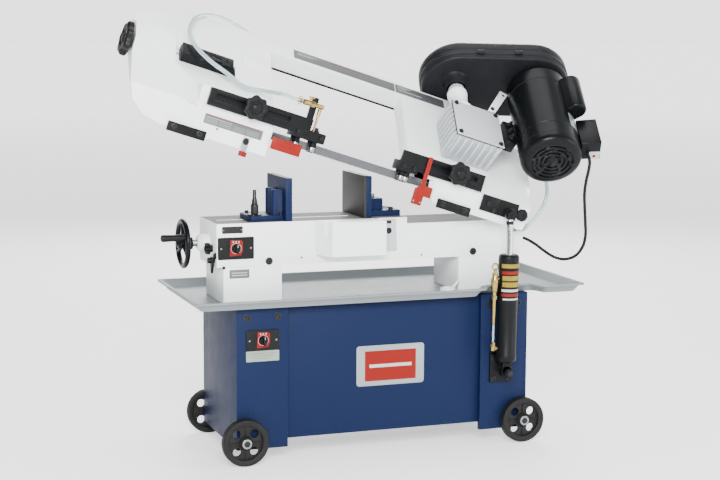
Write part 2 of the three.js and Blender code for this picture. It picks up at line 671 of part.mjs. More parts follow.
function beltGuardBase() {
  const [near, seam] = GUARD.z;
  return cut(
    join(prism(guardOutline(GUARD.r), 'z', [near, seam]), rod('z', [WORM.x, WORM.y], 25, [151, near + 1])),
    prism(guardOutline(GUARD.r - SHEET), 'z', [near + SHEET, seam + 10]),
    rod('z', [WORM.x, WORM.y], 12, [100, 300]),
    rod('z', [MOTOR.x, MOTOR.y], 20, [100, 300]),
  );
}
part(bow, 'belt_guard_base', BLACK, beltGuardBase());

function beltGuardLid() {
  const [, seam, far] = GUARD.z;
  return cut(
    prism(guardOutline(GUARD.r), 'z', [seam + GAP, far]),
    prism(guardOutline(GUARD.r - SHEET), 'z', [seam - 10, far - SHEET]),
  );
}
part(bow, 'belt_guard_lid', BLACK, beltGuardLid());

function vBelt() {
  const loop = (grow) => hull(atDepthsZ([
    ...circle([WORM.x, WORM.y], 52.4 + grow, 36), ...circle([MOTOR.x, MOTOR.y], 32.4 + grow, 28)], [219 - grow / 8, 231 + grow / 8]));
  return cut(loop(8), hull(atDepthsZ([
    ...circle([WORM.x, WORM.y], 52.4, 36), ...circle([MOTOR.x, MOTOR.y], 32.4, 28)], [200, 250])));
}
function atDepthsZ(outline, depths) {
  return depths.flatMap((z) => outline.map(([x, y]) => [x, y, z]));
}
part(bow, 'v_belt', RUBBER, vBelt());

// ---------------------------------------------------------------- motor
const M = [MOTOR.x, MOTOR.y];

function motorBody() {
  const [low, high] = MOTOR.z;
  const shell = turned([[0, low], [MOTOR.r, low], [MOTOR.r, high - 8], [MOTOR.r - 6, high], [0, high]], 'z', M, 32);
  const foot = box([-133.6, -100], [-132, -96], [-45, 30]);
  return cut(join(shell, foot), rod('z', M, 62, [low + 6, high - 10]), rod('z', M, 11, [low - 50, high + 50]));
}
part(bow, 'motor_body', BLACK, motorBody());
part(bow, 'motor_rotor', STEEL, join(
  rod('z', M, 9, [-104, 236]),
  rod('z', M, 50, [-50, 130], 20),
  rod('z', M, 32, [214, 236], 20),
  rod('z', M, 58, [-106, -98], 20),
));

function fanCowl() {
  const top = MOTOR.z[0] - GAP;
  return cut(
    turned([[0, -112], [58, -112], [72, -108], [MOTOR.r, -97], [MOTOR.r, top], [0, top]], 'z', M, 32),
    turned([[0, -109], [56, -109], [69, -105], [74, -96], [74, 0], [0, 0]], 'z', M, 32),
  );
}
part(bow, 'fan_cowl', BLACK, fanCowl());

const around = (angle, r) => [M[0] + r * Math.cos(angle * RAD), M[1] + r * Math.sin(angle * RAD)];
const motorSurface = rod('z', M, MOTOR.r + GAP, [-FAR, FAR], 48);

function capacitorCover() {
  const outline = [...circle(around(-57, 93), 25, 20), around(-75, 80), around(-39, 80)];
  return cut(hull(atDepthsZ(outline, [20, 138])), motorSurface);
}
part(bow, 'capacitor_cover', BLACK, capacitorCover());

function terminalBox() {
  const outline = [around(-39, 132), around(-14, 132), around(-6, 80), around(-46, 80)];
  return cut(hull(atDepthsZ(outline, [-78, 12])), motorSurface);
}
part(bow, 'motor_terminal_box', BLACK, terminalBox());

// ---------------------------------------------------------------- blade guides
function guideArm([start, end], [slotStart, slotEnd], [blockStart, blockEnd]) {
  const [back, front] = [SKIRT_Y[0] - GAP, -189];
  const bar = cut(
    box([start, end], [front, back], [48, 90]),
    box([slotStart, slotEnd], [front - 1, back + 1], [69, 79]),
  );
  const block = box([blockStart, blockEnd], [front, -135.5], [40, 64]);
  const rollers = [-1, 1].flatMap((side) => {
    const y = CUT_Y + side * (9 + BAND.thick / 2 + 0.35);
    return [blockStart + 18, blockEnd - 18].map((x) => rod('z', [x, y], 9, [16, 41], 14));
  });
  return join(bar, block, ...rollers);
}
const LEFT_BLOCK = [-683, -603];
part(head, 'left_guide_arm', BLACK, join(
  guideArm([-905, -645], [-890, -700], LEFT_BLOCK),
  box([-663, -647], [-189, -183], [89, 142]),
));
part(head, 'right_guide_arm', BLACK, guideArm([-398, -171], [-325, -190], [-398, -350]));

function guideKnob(x) {
  return join(
    rod('y', [x, 74], 30, [-216, -196], 12),
    rod('y', [x, 74], 18, [-198, -189 - GAP], 16),
    rod('y', [x, 74], 4.6, [-190, SKIRT_Y[0] - GAP], 12),
  );
}
part(head, 'left_guide_knob', BLACK, guideKnob(-796));
part(head, 'right_guide_knob', BLACK, guideKnob(-249));

// ---------------------------------------------------------------- cylinder anchor on the head
part(head, 'cylinder_upper_bracket', BLACK, join(
  box([-158, -56], [-184, SKIRT_Y[0] - GAP], [6, 47]),
  rod('y', [FEED_PIN.x, FEED_PIN.z], 4.5, [-212, -183], 16),
  rod('y', [FEED_PIN.x, FEED_PIN.z], 13, [-211, -204], 6),
));

// ---------------------------------------------------------------- coolant and wiring
part(head, 'coolant_nozzle', BRASS, join(
  rod('x', [-196, 124], 6, [-700, -642], 12),
  rod('z', [-640, -196], 3.2, [62, 124], 10),
  rod('x', [-196, 124], 5, [-644, -634], 10),
));

const inBow = (points) => points.map((p) => new THREE.Vector3(...p).applyMatrix4(bowToHead).toArray());
const UPPER_HOSE = [
  [-700.3, -196, 124], [-715, -196, 124.5], [-735, -195, 125],
  ...inBow([
    [-770, -55, -66], [-815, -48, -64], [-863, -64, -58], [-908, -66, -34], [-944, -64, 6], [-957, -60, 52],
    [-950, -54, 104], [-932, -50, 146], [-893, -44, 178], [-845, -32, 195], [-790, -16, 199],
    [-735, -9, 194], [-690, -9, 191], [-650.3, -9, 191],
  ]),
];
part(head, 'upper_hose', HOSE, tube(UPPER_HOSE, 5, 44, 8));

// These two run from the head to the bed's end, so their points are the machine's.
const LOWER_HOSE = [
  [405, 23, 739], [430, 23, 731], [465, 20, 716], [495, 14, 691], [511, 6, 658], [514, 0, 627], [509, -2, 601],
  [493, -3, 573], [470, -2, 545], [445, 2, 522], [420, 6, 508], [405, 8, 504.5], [390.5, 8, 504],
];
part(machine, 'lower_hose', HOSE, tube(LOWER_HOSE, 5, 24, 8));

const MOTOR_LEAD = [
  [511, -226.3, 741.5], [511, -236, 733], [510, -243, 719], [509, -240, 700], [511, -226, 676], [517, -206, 640],
  [529, -186, 600], [543, -165, 557], [553, -148, 522], [554, -131, 490], [542, -114, 465], [521, -97, 455],
  [500, -80, 459], [479, -66, 473], [455, -52, 493], [430, -44, 507], [408, -42, 512.5], [390.5, -42, 513],
];
part(machine, 'motor_lead', RUBBER, tube(MOTOR_LEAD, 4, 40, 8));

// The origin is the middle of the footprint, on the floor. Cords don't count.
const CORDS = ['upper_hose', 'lower_hose', 'motor_lead'];
bandSaw.updateMatrixWorld(true);
const size = new THREE.Box3();
machine.traverse((node) => {
  if (node.isMesh && !CORDS.includes(node.name)) size.expandByObject(node, true);
});
machine.position.set(-(size.min.x + size.max.x) / 2, -(size.min.y + size.max.y) / 2, -size.min.z);

export default bandSaw;
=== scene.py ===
"""Looks of the horizontal band saw: cords, materials, fine pieces, light, floor and camera."""

import math

import bmesh
import bpy
from mathutils import Matrix, Vector


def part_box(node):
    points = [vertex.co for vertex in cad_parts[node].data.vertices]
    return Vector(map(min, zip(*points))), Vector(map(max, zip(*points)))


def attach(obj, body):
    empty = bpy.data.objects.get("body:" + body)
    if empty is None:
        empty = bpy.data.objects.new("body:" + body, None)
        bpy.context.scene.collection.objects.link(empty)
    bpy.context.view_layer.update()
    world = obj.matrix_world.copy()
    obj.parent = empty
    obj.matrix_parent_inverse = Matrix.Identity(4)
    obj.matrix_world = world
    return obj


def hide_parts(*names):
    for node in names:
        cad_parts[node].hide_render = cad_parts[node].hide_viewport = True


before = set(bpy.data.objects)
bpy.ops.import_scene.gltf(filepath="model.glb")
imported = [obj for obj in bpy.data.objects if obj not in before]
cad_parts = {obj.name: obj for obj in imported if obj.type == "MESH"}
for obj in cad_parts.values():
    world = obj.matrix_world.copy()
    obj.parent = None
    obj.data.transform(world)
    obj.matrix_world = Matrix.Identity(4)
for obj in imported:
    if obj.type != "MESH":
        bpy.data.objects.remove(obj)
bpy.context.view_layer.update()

# Frames, in millimetres
MM = 0.001
PIVOT = Vector((386, 0, 550))       # where the head's frame turns
PIVOT_SHAFT_MIDDLE = Vector((386, -32.5, 550))
HEAD_RAISE = math.radians(18)
WHEEL_TILT = math.radians(50)
CUT_Y = -155            # the blade's plane between the guides
WHEEL_RISE = 150        # from the blade line to the band wheels' centres
BLADE_Z = 25
FEED_PIN = Vector((310, -195, 190))
UPPER_PIN = Vector((-79, 0, 18))

low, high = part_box("pivot_shaft")
origin = (low + high) / 2 - PIVOT_SHAFT_MIDDLE * MM
MACHINE = Matrix.Translation(origin) @ Matrix.Scale(MM, 4)
HEAD = MACHINE @ Matrix.Translation(PIVOT) @ Matrix.Rotation(HEAD_RAISE, 4, "Y")
BOW = HEAD @ Matrix.Translation((
    0, CUT_Y + WHEEL_RISE * math.sin(WHEEL_TILT), BLADE_Z + WHEEL_RISE * math.cos(WHEEL_TILT),
)) @ Matrix.Rotation(-WHEEL_TILT, 4, "X")
upper_pin = MACHINE.inverted() @ HEAD @ UPPER_PIN
reach = upper_pin - FEED_PIN
FEED = MACHINE @ Matrix.Translation(FEED_PIN) @ Matrix.Rotation(math.atan2(reach.x, reach.z), 4, "Y")
FEED_LENGTH = math.hypot(reach.x, reach.z)


# Camera, fitted to the photo's view
data = bpy.data.cameras.new("camera")
data.lens = 81.06
data.sensor_width = 36
yaw, pitch, roll = math.radians(19.87), math.radians(7.6), math.radians(0.28)
place = MACHINE @ Vector((-1407.1, -3857.7, 1062.2))
ahead = Vector((math.sin(yaw) * math.cos(pitch), math.cos(yaw) * math.cos(pitch), -math.sin(pitch)))
right = ahead.cross(Vector((0, 0, 1))).normalized()
up = right.cross(ahead)
facing = Matrix((right, up, -ahead)).transposed() @ Matrix.Rotation(roll, 3, "Z")
eye = bpy.data.objects.new("camera", data)
eye.matrix_world = Matrix.Translation(place) @ facing.to_4x4()
bpy.context.scene.collection.objects.link(eye)
bpy.context.scene.camera = eye


# Materials
BLACK, WHITE = (0, 0, 0), (1, 1, 1)
MIX_A, MIX_B, MIX_RESULT = 6, 7, 2  # the Mix node's colour sockets


class Look:
    """A procedural material, built up from a Principled shader."""

    def __init__(self, name, color, roughness, metallic=0.0, **sockets):
        self.material = bpy.data.materials.new(name)
        self.material.use_nodes = True
        self.tree = self.material.node_tree
        self.shader = self.tree.nodes["Principled BSDF"]
        self.color = (*color, 1)
        self.roughness = roughness
        self.set("Base Color", self.color)
        self.set("Roughness", roughness)
        self.set("Metallic", metallic)
        for key, value in sockets.items():
            self.set(key.replace("_", " "), value)
        self.place = self.node("ShaderNodeTexCoord").outputs["Object"]
        self.height = None

    def set(self, socket, value):
        self.shader.inputs[socket].default_value = value

    def node(self, kind, operation=None, **inputs):
        node = self.tree.nodes.new(kind)
        if operation:
            node.operation = operation
        for key, value in inputs.items():
            node.inputs[key.replace("_", " ")].default_value = value
        return node

    def link(self, a, b):
        self.tree.links.new(a, b)

    def noise(self, scale, detail, stretch=None):
        noise = self.node("ShaderNodeTexNoise", Scale=scale, Detail=detail)
        place = self.place
        if stretch:
            mapping = self.node("ShaderNodeMapping", Scale=stretch)
            self.link(place, mapping.inputs["Vector"])
            place = mapping.outputs["Vector"]
        self.link(place, noise.inputs["Vector"])
        return noise.outputs["Fac"]

    def ramp(self, value, low, high):
        """Colour from value, through two stops of (place, colour)."""
        ramp = self.node("ShaderNodeValToRGB")
        self.link(value, ramp.inputs["Fac"])
        for element, (at, color) in zip(ramp.color_ramp.elements, (low, high)):
            element.position = at
            element.color = (*color, 1)
        return ramp.outputs["Color"]

    def tint(self, value, amount):
        """Colour wanders by amount either way."""
        dark = tuple(c * (1 - amount) for c in self.color[:3])
        light = tuple(min(1, c * (1 + amount)) for c in self.color[:3])
        self.link(self.ramp(value, (0.3, dark), (0.7, light)), self.shader.inputs["Base Color"])
        return self

    def gloss(self, value, spread):
        """Roughness wanders by spread either way."""
        glossy, dull = [(self.roughness + side * spread,) * 3 for side in (-1, 1)]
        self.link(self.ramp(value, (0.3, glossy), (0.7, dull)), self.shader.inputs["Roughness"])

    def worn(self, color):
        """Edges show another colour in places: where a rounded normal leaves the surface's own."""
        rounded = self.node("ShaderNodeBevel", Radius=0.0012)
        rounded.samples = 4
        against = self.node("ShaderNodeVectorMath", "DOT_PRODUCT")
        self.link(rounded.outputs["Normal"], against.inputs[0])
        self.link(self.node("ShaderNodeNewGeometry").outputs["Normal"], against.inputs[1])
        both = self.node("ShaderNodeMath", "MULTIPLY")
        self.link(self.ramp(against.outputs["Value"], (0.86, WHITE), (0.97, BLACK)), both.inputs[0])
        self.link(self.ramp(self.noise(90, 4), (0.5, BLACK), (0.64, WHITE)), both.inputs[1])
        mix = self.node("ShaderNodeMix")
        mix.data_type = "RGBA"
        self.link(both.outputs[0], mix.inputs["Factor"])
        source = self.shader.inputs["Base Color"]
        self.link(source.links[0].from_socket, mix.inputs[MIX_A])
        mix.inputs[MIX_B].default_value = (*color, 1)
        self.link(mix.outputs[MIX_RESULT], source)
        return self

    def bump(self, value, distance, strength):
        bump = self.node("ShaderNodeBump", Distance=distance, Strength=strength)
        self.link(value, bump.inputs["Height"])
        if self.height:
            self.link(self.height, bump.inputs["Normal"])
        self.height = bump.outputs["Normal"]
        self.link(self.height, self.shader.inputs["Normal"])


def paint(name, color, roughness, **sockets):
    look = Look(name, color, roughness, **sockets)
    look.tint(look.noise(5, 5), 0.035).gloss(look.noise(26, 4), 0.035)
    look.bump(look.noise(520, 2), 0.0001, 0.3)
    return look


def cast(name, color, roughness):
    look = paint(name, color, roughness)
    look.bump(look.noise(150, 6), 0.00035, 0.4)
    look.bump(look.noise(22, 2), 0.0012, 0.25)
    return look


def ground(name, color, roughness, stretch, metallic=1.0, **sockets):
    look = Look(name, color, roughness, metallic, **sockets)
    lines = look.noise(60, 6, stretch)
    look.tint(lines, 0.16).gloss(lines, 0.07)
    look.bump(lines, 0.00006, 0.4)
    return look


def plastic(name, color, roughness, grain=900, **sockets):
    look = Look(name, color, roughness, **sockets)
    look.tint(look.noise(30, 3), 0.12).gloss(look.noise(60, 3), 0.06)
    look.bump(look.noise(grain, 2), 0.00008, 0.4)
    return look


LOOKS = {
    "blue": paint("blue_paint", (0.0040, 0.0095, 0.037), 0.5, Specular_IOR_Level=0.10)
        .worn((0.04, 0.055, 0.10)),
    "white_cast": cast("white_cast_paint", (0.79, 0.81, 0.81), 0.36),
    # grey paint: the gearbox's own colour, and painted shade on the stop bracket
    "grey_cast_and_painted_shade": cast("gearbox_paint_and_painted_shade", (0.40, 0.43, 0.45), 0.36),
    "white_sheet": paint("white_sheet_paint", (0.74, 0.77, 0.78), 0.30),
    "tray": paint("tray_paint", (0.18, 0.20, 0.208), 0.45, Specular_IOR_Level=0.08),
    "black_paint": paint("black_paint", (0.0035, 0.0040, 0.0048), 0.42, Specular_IOR_Level=0.12)
        .worn((0.03, 0.03, 0.03)),
    "black_plastic": plastic("black_plastic", (0.0040, 0.0042, 0.0050), 0.44, Specular_IOR_Level=0.15),
    "motor_black": paint("motor_black", (0.0028, 0.0034, 0.0040), 0.30, Specular_IOR_Level=0.12)
        .worn((0.03, 0.03, 0.03)),
    "guard_black": plastic("guard_black", (0.0085, 0.0090, 0.0110), 0.42, 700, Specular_IOR_Level=0.14),
    "rubber": plastic("caster_rubber", (0.0060, 0.0060, 0.0063), 0.62, 500, Specular_IOR_Level=0.2),
    "belt": plastic("belt_rubber", (0.0060, 0.0060, 0.0060), 0.7, 400, Specular_IOR_Level=0.2),
    "table": ground("machined_table", (0.12, 0.121, 0.121), 0.6, (1, 26, 26), 0.0, Specular_IOR_Level=0.04),
    "jaw_plate": ground("ground_jaw_plate", (0.022, 0.022, 0.020), 0.5, (20, 20, 1), 0.2,
        Specular_IOR_Level=0.2),
    "steel": ground("bright_steel", (0.26, 0.27, 0.28), 0.27, (30, 30, 6)),
    "blade": ground("blade_steel", (0.10, 0.104, 0.11), 0.34, (2, 40, 40), 0.8),
    "iron": cast("bare_cast_iron", (0.06, 0.061, 0.063), 0.5),
    "chrome": ground("chrome", (0.52, 0.53, 0.54), 0.08, (4, 4, 40)),
    "brass": ground("brass", (0.34, 0.245, 0.085), 0.24, (10, 10, 60)),
    "copper": ground("copper", (0.38, 0.19, 0.11), 0.26, (10, 10, 60)),
    "red": plastic("red_plastic", (0.18, 0.0055, 0.0030), 0.42, 600, Specular_IOR_Level=0.15),
    "red_paint": paint("red_paint", (0.18, 0.0055, 0.0030), 0.4, Specular_IOR_Level=0.15)
        .worn((0.13, 0.03, 0.02)),
    "grey_plate": ground("grey_plate", (0.10, 0.108, 0.112), 0.42, (2, 30, 30), 0.4),
    "silver_plate": ground("silver_plate", (0.27, 0.305, 0.305), 0.34, (2, 30, 30), 0.6),
    "label_pale": plastic("pale_label", (0.20, 0.245, 0.20), 0.45, 300, Specular_IOR_Level=0.2),
    "label_yellow": plastic("yellow_label", (0.22, 0.16, 0.012), 0.4, 300, Specular_IOR_Level=0.2),
    "label_white": plastic("white_label", (0.42, 0.42, 0.41), 0.45, 300),
    "bolt": ground("blackened_steel", (0.016, 0.016, 0.017), 0.38, (30, 30, 30), 0.7),
}


def clear_hose():
    look = Look("clear_hose", (0.46, 0.58, 0.62), 0.12, IOR=1.42, Transmission_Weight=0.45)
    look.tint(look.noise(40, 2), 0.05).gloss(look.noise(120, 3), 0.04)
    look.bump(look.noise(300, 2), 0.00008, 0.3)
    return look


LOOKS["hose"] = clear_hose()


# Mesh building
AXES = {
    "x": Matrix(((0, 0, 1), (1, 0, 0), (0, 1, 0))).to_4x4(),
    "y": Matrix(((1, 0, 0), (0, 0, 1), (0, 1, 0))).to_4x4(),
    "z": Matrix.Identity(4),
}
SMOOTH_BELOW = math.radians(38)


def turn_in(count):
    return [math.tau * k / count for k in range(count)]


def around(centre, r, angle):
    return centre[0] + r * math.cos(angle), centre[1] + r * math.sin(angle)


def arc(centre, r, start, end, steps):
    """Points on an arc, between angles in degrees."""
    return [around(centre, r, math.radians(start + (end - start) * i / steps)) for i in range(steps + 1)]


def circle(centre, r, sides=32):
    return arc(centre, r, 0, 360 * (1 - 1 / sides), sides - 1)


def rectangle(x, y, r):
    """Outline with round corners."""
    corners = ((x[1] - r, y[1] - r), (x[0] + r, y[1] - r), (x[0] + r, y[0] + r), (x[1] - r, y[0] + r))
    return [point for i, corner in enumerate(corners) for point in arc(corner, r, 90 * i, 90 * i + 90, 5)]


class Piece:
    """A mesh piece made of solids given in millimetres of one frame, each with its own look."""

    def __init__(self, name, body, frame_matrix, look):
        self.name, self.body, self.frame = name, body, frame_matrix
        self.looks = [look]
        self.mesh = bmesh.new()

    def add(self, part, look=None, round_by=0.0, segments=2, place=None):
        look = look or self.looks[0]
        if look not in self.looks:
            self.looks.append(look)
        bmesh.ops.recalc_face_normals(part, faces=part.faces)
        if round_by:
            edges = [e for e in part.edges if len(e.link_faces) == 2 and e.calc_face_angle(0) > SMOOTH_BELOW]
            bmesh.ops.bevel(part, geom=edges, offset=round_by, segments=segments, affect="EDGES", profile=0.5,
                clamp_overlap=True)
        matrix = self.frame @ place if place else self.frame
        bmesh.ops.transform(part, matrix=matrix, verts=part.verts)
        if matrix.determinant() < 0:
            bmesh.ops.reverse_faces(part, faces=part.faces)
        index = self.looks.index(look)
        for face in part.faces:
            face.material_index = index
            face.smooth = True
        data = bpy.data.meshes.new("part")
        part.to_mesh(data)
        part.free()
        self.mesh.from_mesh(data)
        bpy.data.meshes.remove(data)

    def box(self, x, y, z, **how):
        part = bmesh.new()
        bmesh.ops.create_cube(part, size=1)
        size = Vector((x[1] - x[0], y[1] - y[0], z[1] - z[0]))
        middle = Vector((x[0] + x[1], y[0] + y[1], z[0] + z[1])) / 2
        bmesh.ops.transform(part, matrix=Matrix.Translation(middle) @ Matrix.Diagonal(size).to_4x4(),
            verts=part.verts)
        self.add(part, **how)

    def prism(self, outline, axis, span, **how):
        self.loft([[AXES[axis] @ Vector((u, v, h)) for u, v in outline] for h in span], **how)

    def loft(self, rings, **how):
        """Closed skin through rings of points given as (x, y, z)."""
        part = bmesh.new()
        self.skin(part, [[part.verts.new(Vector(p)) for p in ring] for ring in rings])
        self.add(part, **how)

    @staticmethod
    def skin(part, rings):
        count = len(rings[0])
        for a, b in zip(rings, rings[1:]):
            for i in range(count):
                part.faces.new((a[i], a[(i + 1) % count], b[(i + 1) % count], b[i]))
        part.faces.new(list(reversed(rings[0])))
        part.faces.new(rings[-1])

    def lathe(self, profile, axis, centre, sides=48, **how):
        """Profile points are (radius, place along the axis)."""
        part = bmesh.new()
        rings, ends = [], {}
        for i, (r, h) in enumerate(profile):
            if r <= 0:
                ends[i] = part.verts.new(AXES[axis] @ Vector((*centre, h)))
                rings.append(None)
            else:
                rings.append([part.verts.new(AXES[axis] @ Vector((*around(centre, r, a), h)))
                    for a in turn_in(sides)])
        for i, (a, b) in enumerate(zip(rings, rings[1:])):
            for k in range(sides):
                m = (k + 1) % sides
                if a and b:
                    part.faces.new((a[k], a[m], b[m], b[k]))
                elif b:
                    part.faces.new((ends[i], b[m], b[k]))
                elif a:
                    part.faces.new((a[k], a[m], ends[i + 1]))
        if rings[0] and rings[-1]:
            for k in range(sides):
                m = (k + 1) % sides
                part.faces.new((rings[-1][k], rings[-1][m], rings[0][m], rings[0][k]))
        self.add(part, **how)

    def turned(self, profile, *where, **how):
        """Lathed solid with flat ends that reach the axis."""
        self.lathe([(0, profile[0][1]), *profile, (0, profile[-1][1])], *where, **how)

    def nut(self, axis, centre, r, span, **how):
        self.prism(circle(centre, r, 6), axis, span, **how)

    def rod(self, axis, centre, r, span, sides=40, **how):
        self.prism(circle(centre, r, sides), axis, span, **how)

    def tube(self, points, r, sides, look=None):
        part = bmesh.new()
        rings = []
        side = (Vector(points[1]) - Vector(points[0])).orthogonal()
        for i, p in enumerate(points):
            ahead = Vector(points[min(i + 1, len(points) - 1)]) - Vector(points[max(i - 1, 0)])
            ahead.normalize()
            side = (side - ahead * side.dot(ahead)).normalized()
            other = ahead.cross(side)
            rings.append([part.verts.new(Vector(p) + r * (side * math.cos(a) + other * math.sin(a)))
                for a in turn_in(sides)])
        self.skin(part, rings)
        self.add(part, look=look)

    def bolt(self, axis, centre, face, out, r, height, washer=True, look="bolt", socket=True):
        """Socket-head or hexagon bolt standing on a face. out is +1 or -1 along the axis."""
        at = face
        if washer:
            self.turned([(r * 1.45, at), (r * 1.45, at + out)], axis, centre, 28, look=look, round_by=0.2)
            at += out
        if socket:
            top = at + out * height
            floor = top - out * height * 0.55
            self.turned([(r, at), (r, top - out * 0.6), (r - 0.6, top), (r * 0.58, top), (r * 0.5, floor)],
                axis, centre, 28, look=look)
        else:
            self.nut(axis, centre, r, sorted((at, at + out * height)), look=look, round_by=0.5)

    def done(self, *replaces):
        """Makes the object, which stands for the CAD nodes named."""
        data = bpy.data.meshes.new(self.name)
        for edge in self.mesh.edges:
            edge.smooth = edge.calc_face_angle(0) < SMOOTH_BELOW
        self.mesh.to_mesh(data)
        self.mesh.free()
        piece = bpy.data.objects.new(self.name, data)
        bpy.context.scene.collection.objects.link(piece)
        for look in self.looks:
            data.materials.append(LOOKS[look].material)
        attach(piece, self.body)
        if replaces:
            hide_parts(*replaces)
        return piece


# Cords
def smooth_route(points):
    """Centripetal Catmull-Rom curve through the points, in eight steps between each two."""
    p = [Vector(q) for q in points]
    p = [p[0] * 2 - p[1], *p, p[-1] * 2 - p[-2]]
    route = []
    for a, b, c, d in zip(p, p[1:], p[2:], p[3:]):
        t0, t1 = 0.0, (b - a).length ** 0.5
        t2 = t1 + (c - b).length ** 0.5
        t3 = t2 + (d - c).length ** 0.5
        for i in range(8):
            t = t1 + (t2 - t1) * i / 8
            ab = a.lerp(b, (t - t0) / (t1 - t0))
            bc = b.lerp(c, (t - t1) / (t2 - t1))
            cd = c.lerp(d, (t - t2) / (t3 - t2))
            abc = ab.lerp(bc, (t - t0) / (t2 - t0))
            bcd = bc.lerp(cd, (t - t1) / (t3 - t1))
            route.append(abc.lerp(bcd, (t - t1) / (t2 - t1)))
    return [*route, p[-2]]


def cord(name, route, diameter, look):
    """A hose or lead that leaves the head at the route's start and goes back into the machine at its end."""
    points = smooth_route(route)
    curve = bpy.data.curves.new(name, "CURVE")
    curve.dimensions = "3D"
    curve.bevel_depth = diameter / 2
    curve.bevel_resolution = 5
    curve.use_fill_caps = True
    spline = curve.splines.new("POLY")
    spline.points.add(len(points) - 1)
    for point, place in zip(spline.points, points):
        point.co = (*place, 1)
    curve.materials.append(LOOKS[look].material)
    piece = bpy.data.objects.new(name + "_run", curve)
    bpy.context.scene.collection.objects.link(piece)
    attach(piece, "saw_head")
    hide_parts(name)


UPPER_HOSE = [HEAD @ Vector(p) for p in ((-700.3, -196, 124), (-715, -196, 124.5), (-735, -195, 125))]
UPPER_HOSE += [BOW @ Vector(p) for p in (
    (-770, -55, -66), (-815, -48, -64), (-863, -64, -58), (-908, -66, -34), (-944, -64, 6), (-957, -60, 52),
    (-950, -54, 104), (-932, -50, 146), (-893, -44, 178), (-845, -32, 195), (-790, -16, 199),
    (-735, -9, 194), (-690, -9, 191), (-650.3, -9, 191),
)]
LOWER_HOSE = [MACHINE @ Vector(p) for p in (
    (405, 23, 739), (430, 23, 731), (465, 20, 716), (495, 14, 691), (511, 6, 658), (514, 0, 627),
    (509, -2, 601), (493, -3, 573), (470, -2, 545), (445, 2, 522), (420, 6, 508), (405, 8, 504.5),
    (390.5, 8, 504),
)]
MOTOR_LEAD = [MACHINE @ Vector(p) for p in (
    (511, -226.3, 741.5), (511, -236, 733), (510, -243, 719), (509, -240, 700), (511, -226, 676),
    (517, -206, 640), (529, -186, 600), (543, -165, 557), (553, -148, 522), (554, -131, 490),
    (542, -114, 465), (521, -97, 455), (500, -80, 459), (479, -66, 473), (455, -52, 493), (430, -44, 507),
    (408, -42, 512.5),
    (390.5, -42, 513),
)]
cord("upper_hose", UPPER_HOSE, 0.010, "hose")
cord("lower_hose", LOWER_HOSE, 0.010, "hose")
cord("motor_lead", MOTOR_LEAD, 0.008, "belt")


# CAD nodes that stay in view
def smoothing_group():
    """Node group that shades faces smooth, with sharp edges above an angle."""
    group = bpy.data.node_groups.new("smooth_by_angle", "GeometryNodeTree")
    group.interface.new_socket("Geometry", in_out="INPUT", socket_type="NodeSocketGeometry")
    group.interface.new_socket("Geometry", in_out="OUTPUT", socket_type="NodeSocketGeometry")
    nodes, links = group.nodes, group.links
    start, end = nodes.new("NodeGroupInput"), nodes.new("NodeGroupOutput")
    faces, edges = nodes.new("GeometryNodeSetShadeSmooth"), nodes.new("GeometryNodeSetShadeSmooth")
    edges.domain = "EDGE"
    edges.inputs["Shade Smooth"].default_value = False
    angle, above = nodes.new("GeometryNodeInputMeshEdgeAngle"), nodes.new("FunctionNodeCompare")
    above.data_type = "FLOAT"
    above.operation = "GREATER_THAN"
    above.inputs[1].default_value = SMOOTH_BELOW
    links.new(start.outputs[0], faces.inputs["Geometry"])
    links.new(faces.outputs["Geometry"], edges.inputs["Geometry"])
    links.new(angle.outputs["Unsigned Angle"], above.inputs[0])
    links.new(above.outputs["Result"], edges.inputs["Selection"])
    links.new(edges.outputs["Geometry"], end.inputs[0])
    return group


SMOOTHING = smoothing_group()
NODE_LOOK = {
    "blue": ["stand_left_cabinet", "stand_right_cabinet", "stand_front_panel", "stand_rear_panel",
        "fixed_jaw", "moving_jaw"],
    "white_cast": ["bed_casting", "left_pedestal", "right_pedestal", "pivot_bracket", "bow_casting"],
    "grey_cast_and_painted_shade": ["gearbox_housing", "gearbox_cover"],
    "tray": ["chip_tray"],
    "black_paint": ["idler_wheel_cover", "drive_wheel_cover", "left_guide_arm", "right_guide_arm",
        "cylinder_lower_bracket", "cylinder_upper_bracket", "vise_lever"],
    "steel": ["left_axle", "right_axle", "vise_screw", "pivot_shaft", "drive_shaft", "worm_shaft",
        "motor_rotor"],
    "blade": ["saw_blade"], "jaw_plate": ["fixed_jaw_plate"], "belt": ["v_belt"],
    "iron": ["idler_wheel", "drive_wheel", "coolant_tank"], "chrome": ["feed_rod"],
}
# Widths of the rounded edges, in millimetres
PLAIN_EDGE = 0.9
SOFT_EDGE = {
    "bow_casting": 5.0, "bed_casting": 2.5, "fixed_jaw": 2.5, "moving_jaw": 2.5, "left_pedestal": 2.5,
    "right_pedestal": 2.5, "gearbox_housing": 2.5, "pivot_bracket": 2.0, "saw_blade": 0, "v_belt": 0.8,
    "chip_tray": 0.8,
}


def dress(name, look):
    """Gives a CAD node its material, rounded edges and smooth shading."""
    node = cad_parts[name]
    node.data.materials.clear()
    node.data.materials.append(LOOKS[look].material)
    weld = node.modifiers.new("weld", "WELD")
    weld.merge_threshold = 0.01 * MM
    width = SOFT_EDGE.get(name, PLAIN_EDGE)
    if width:
        bevel = node.modifiers.new("edges", "BEVEL")
        bevel.limit_method = "ANGLE"
        bevel.angle_limit = SMOOTH_BELOW
        bevel.width = width * MM
        bevel.segments = 3
    smooth = node.modifiers.new("smooth", "NODES")
    smooth.node_group = SMOOTHING


for look, names in NODE_LOOK.items():
    for name in names:
        dress(name, look)


# Stand
STAND_WHEEL_X, STAND_WHEEL_Z = 368, 57.5


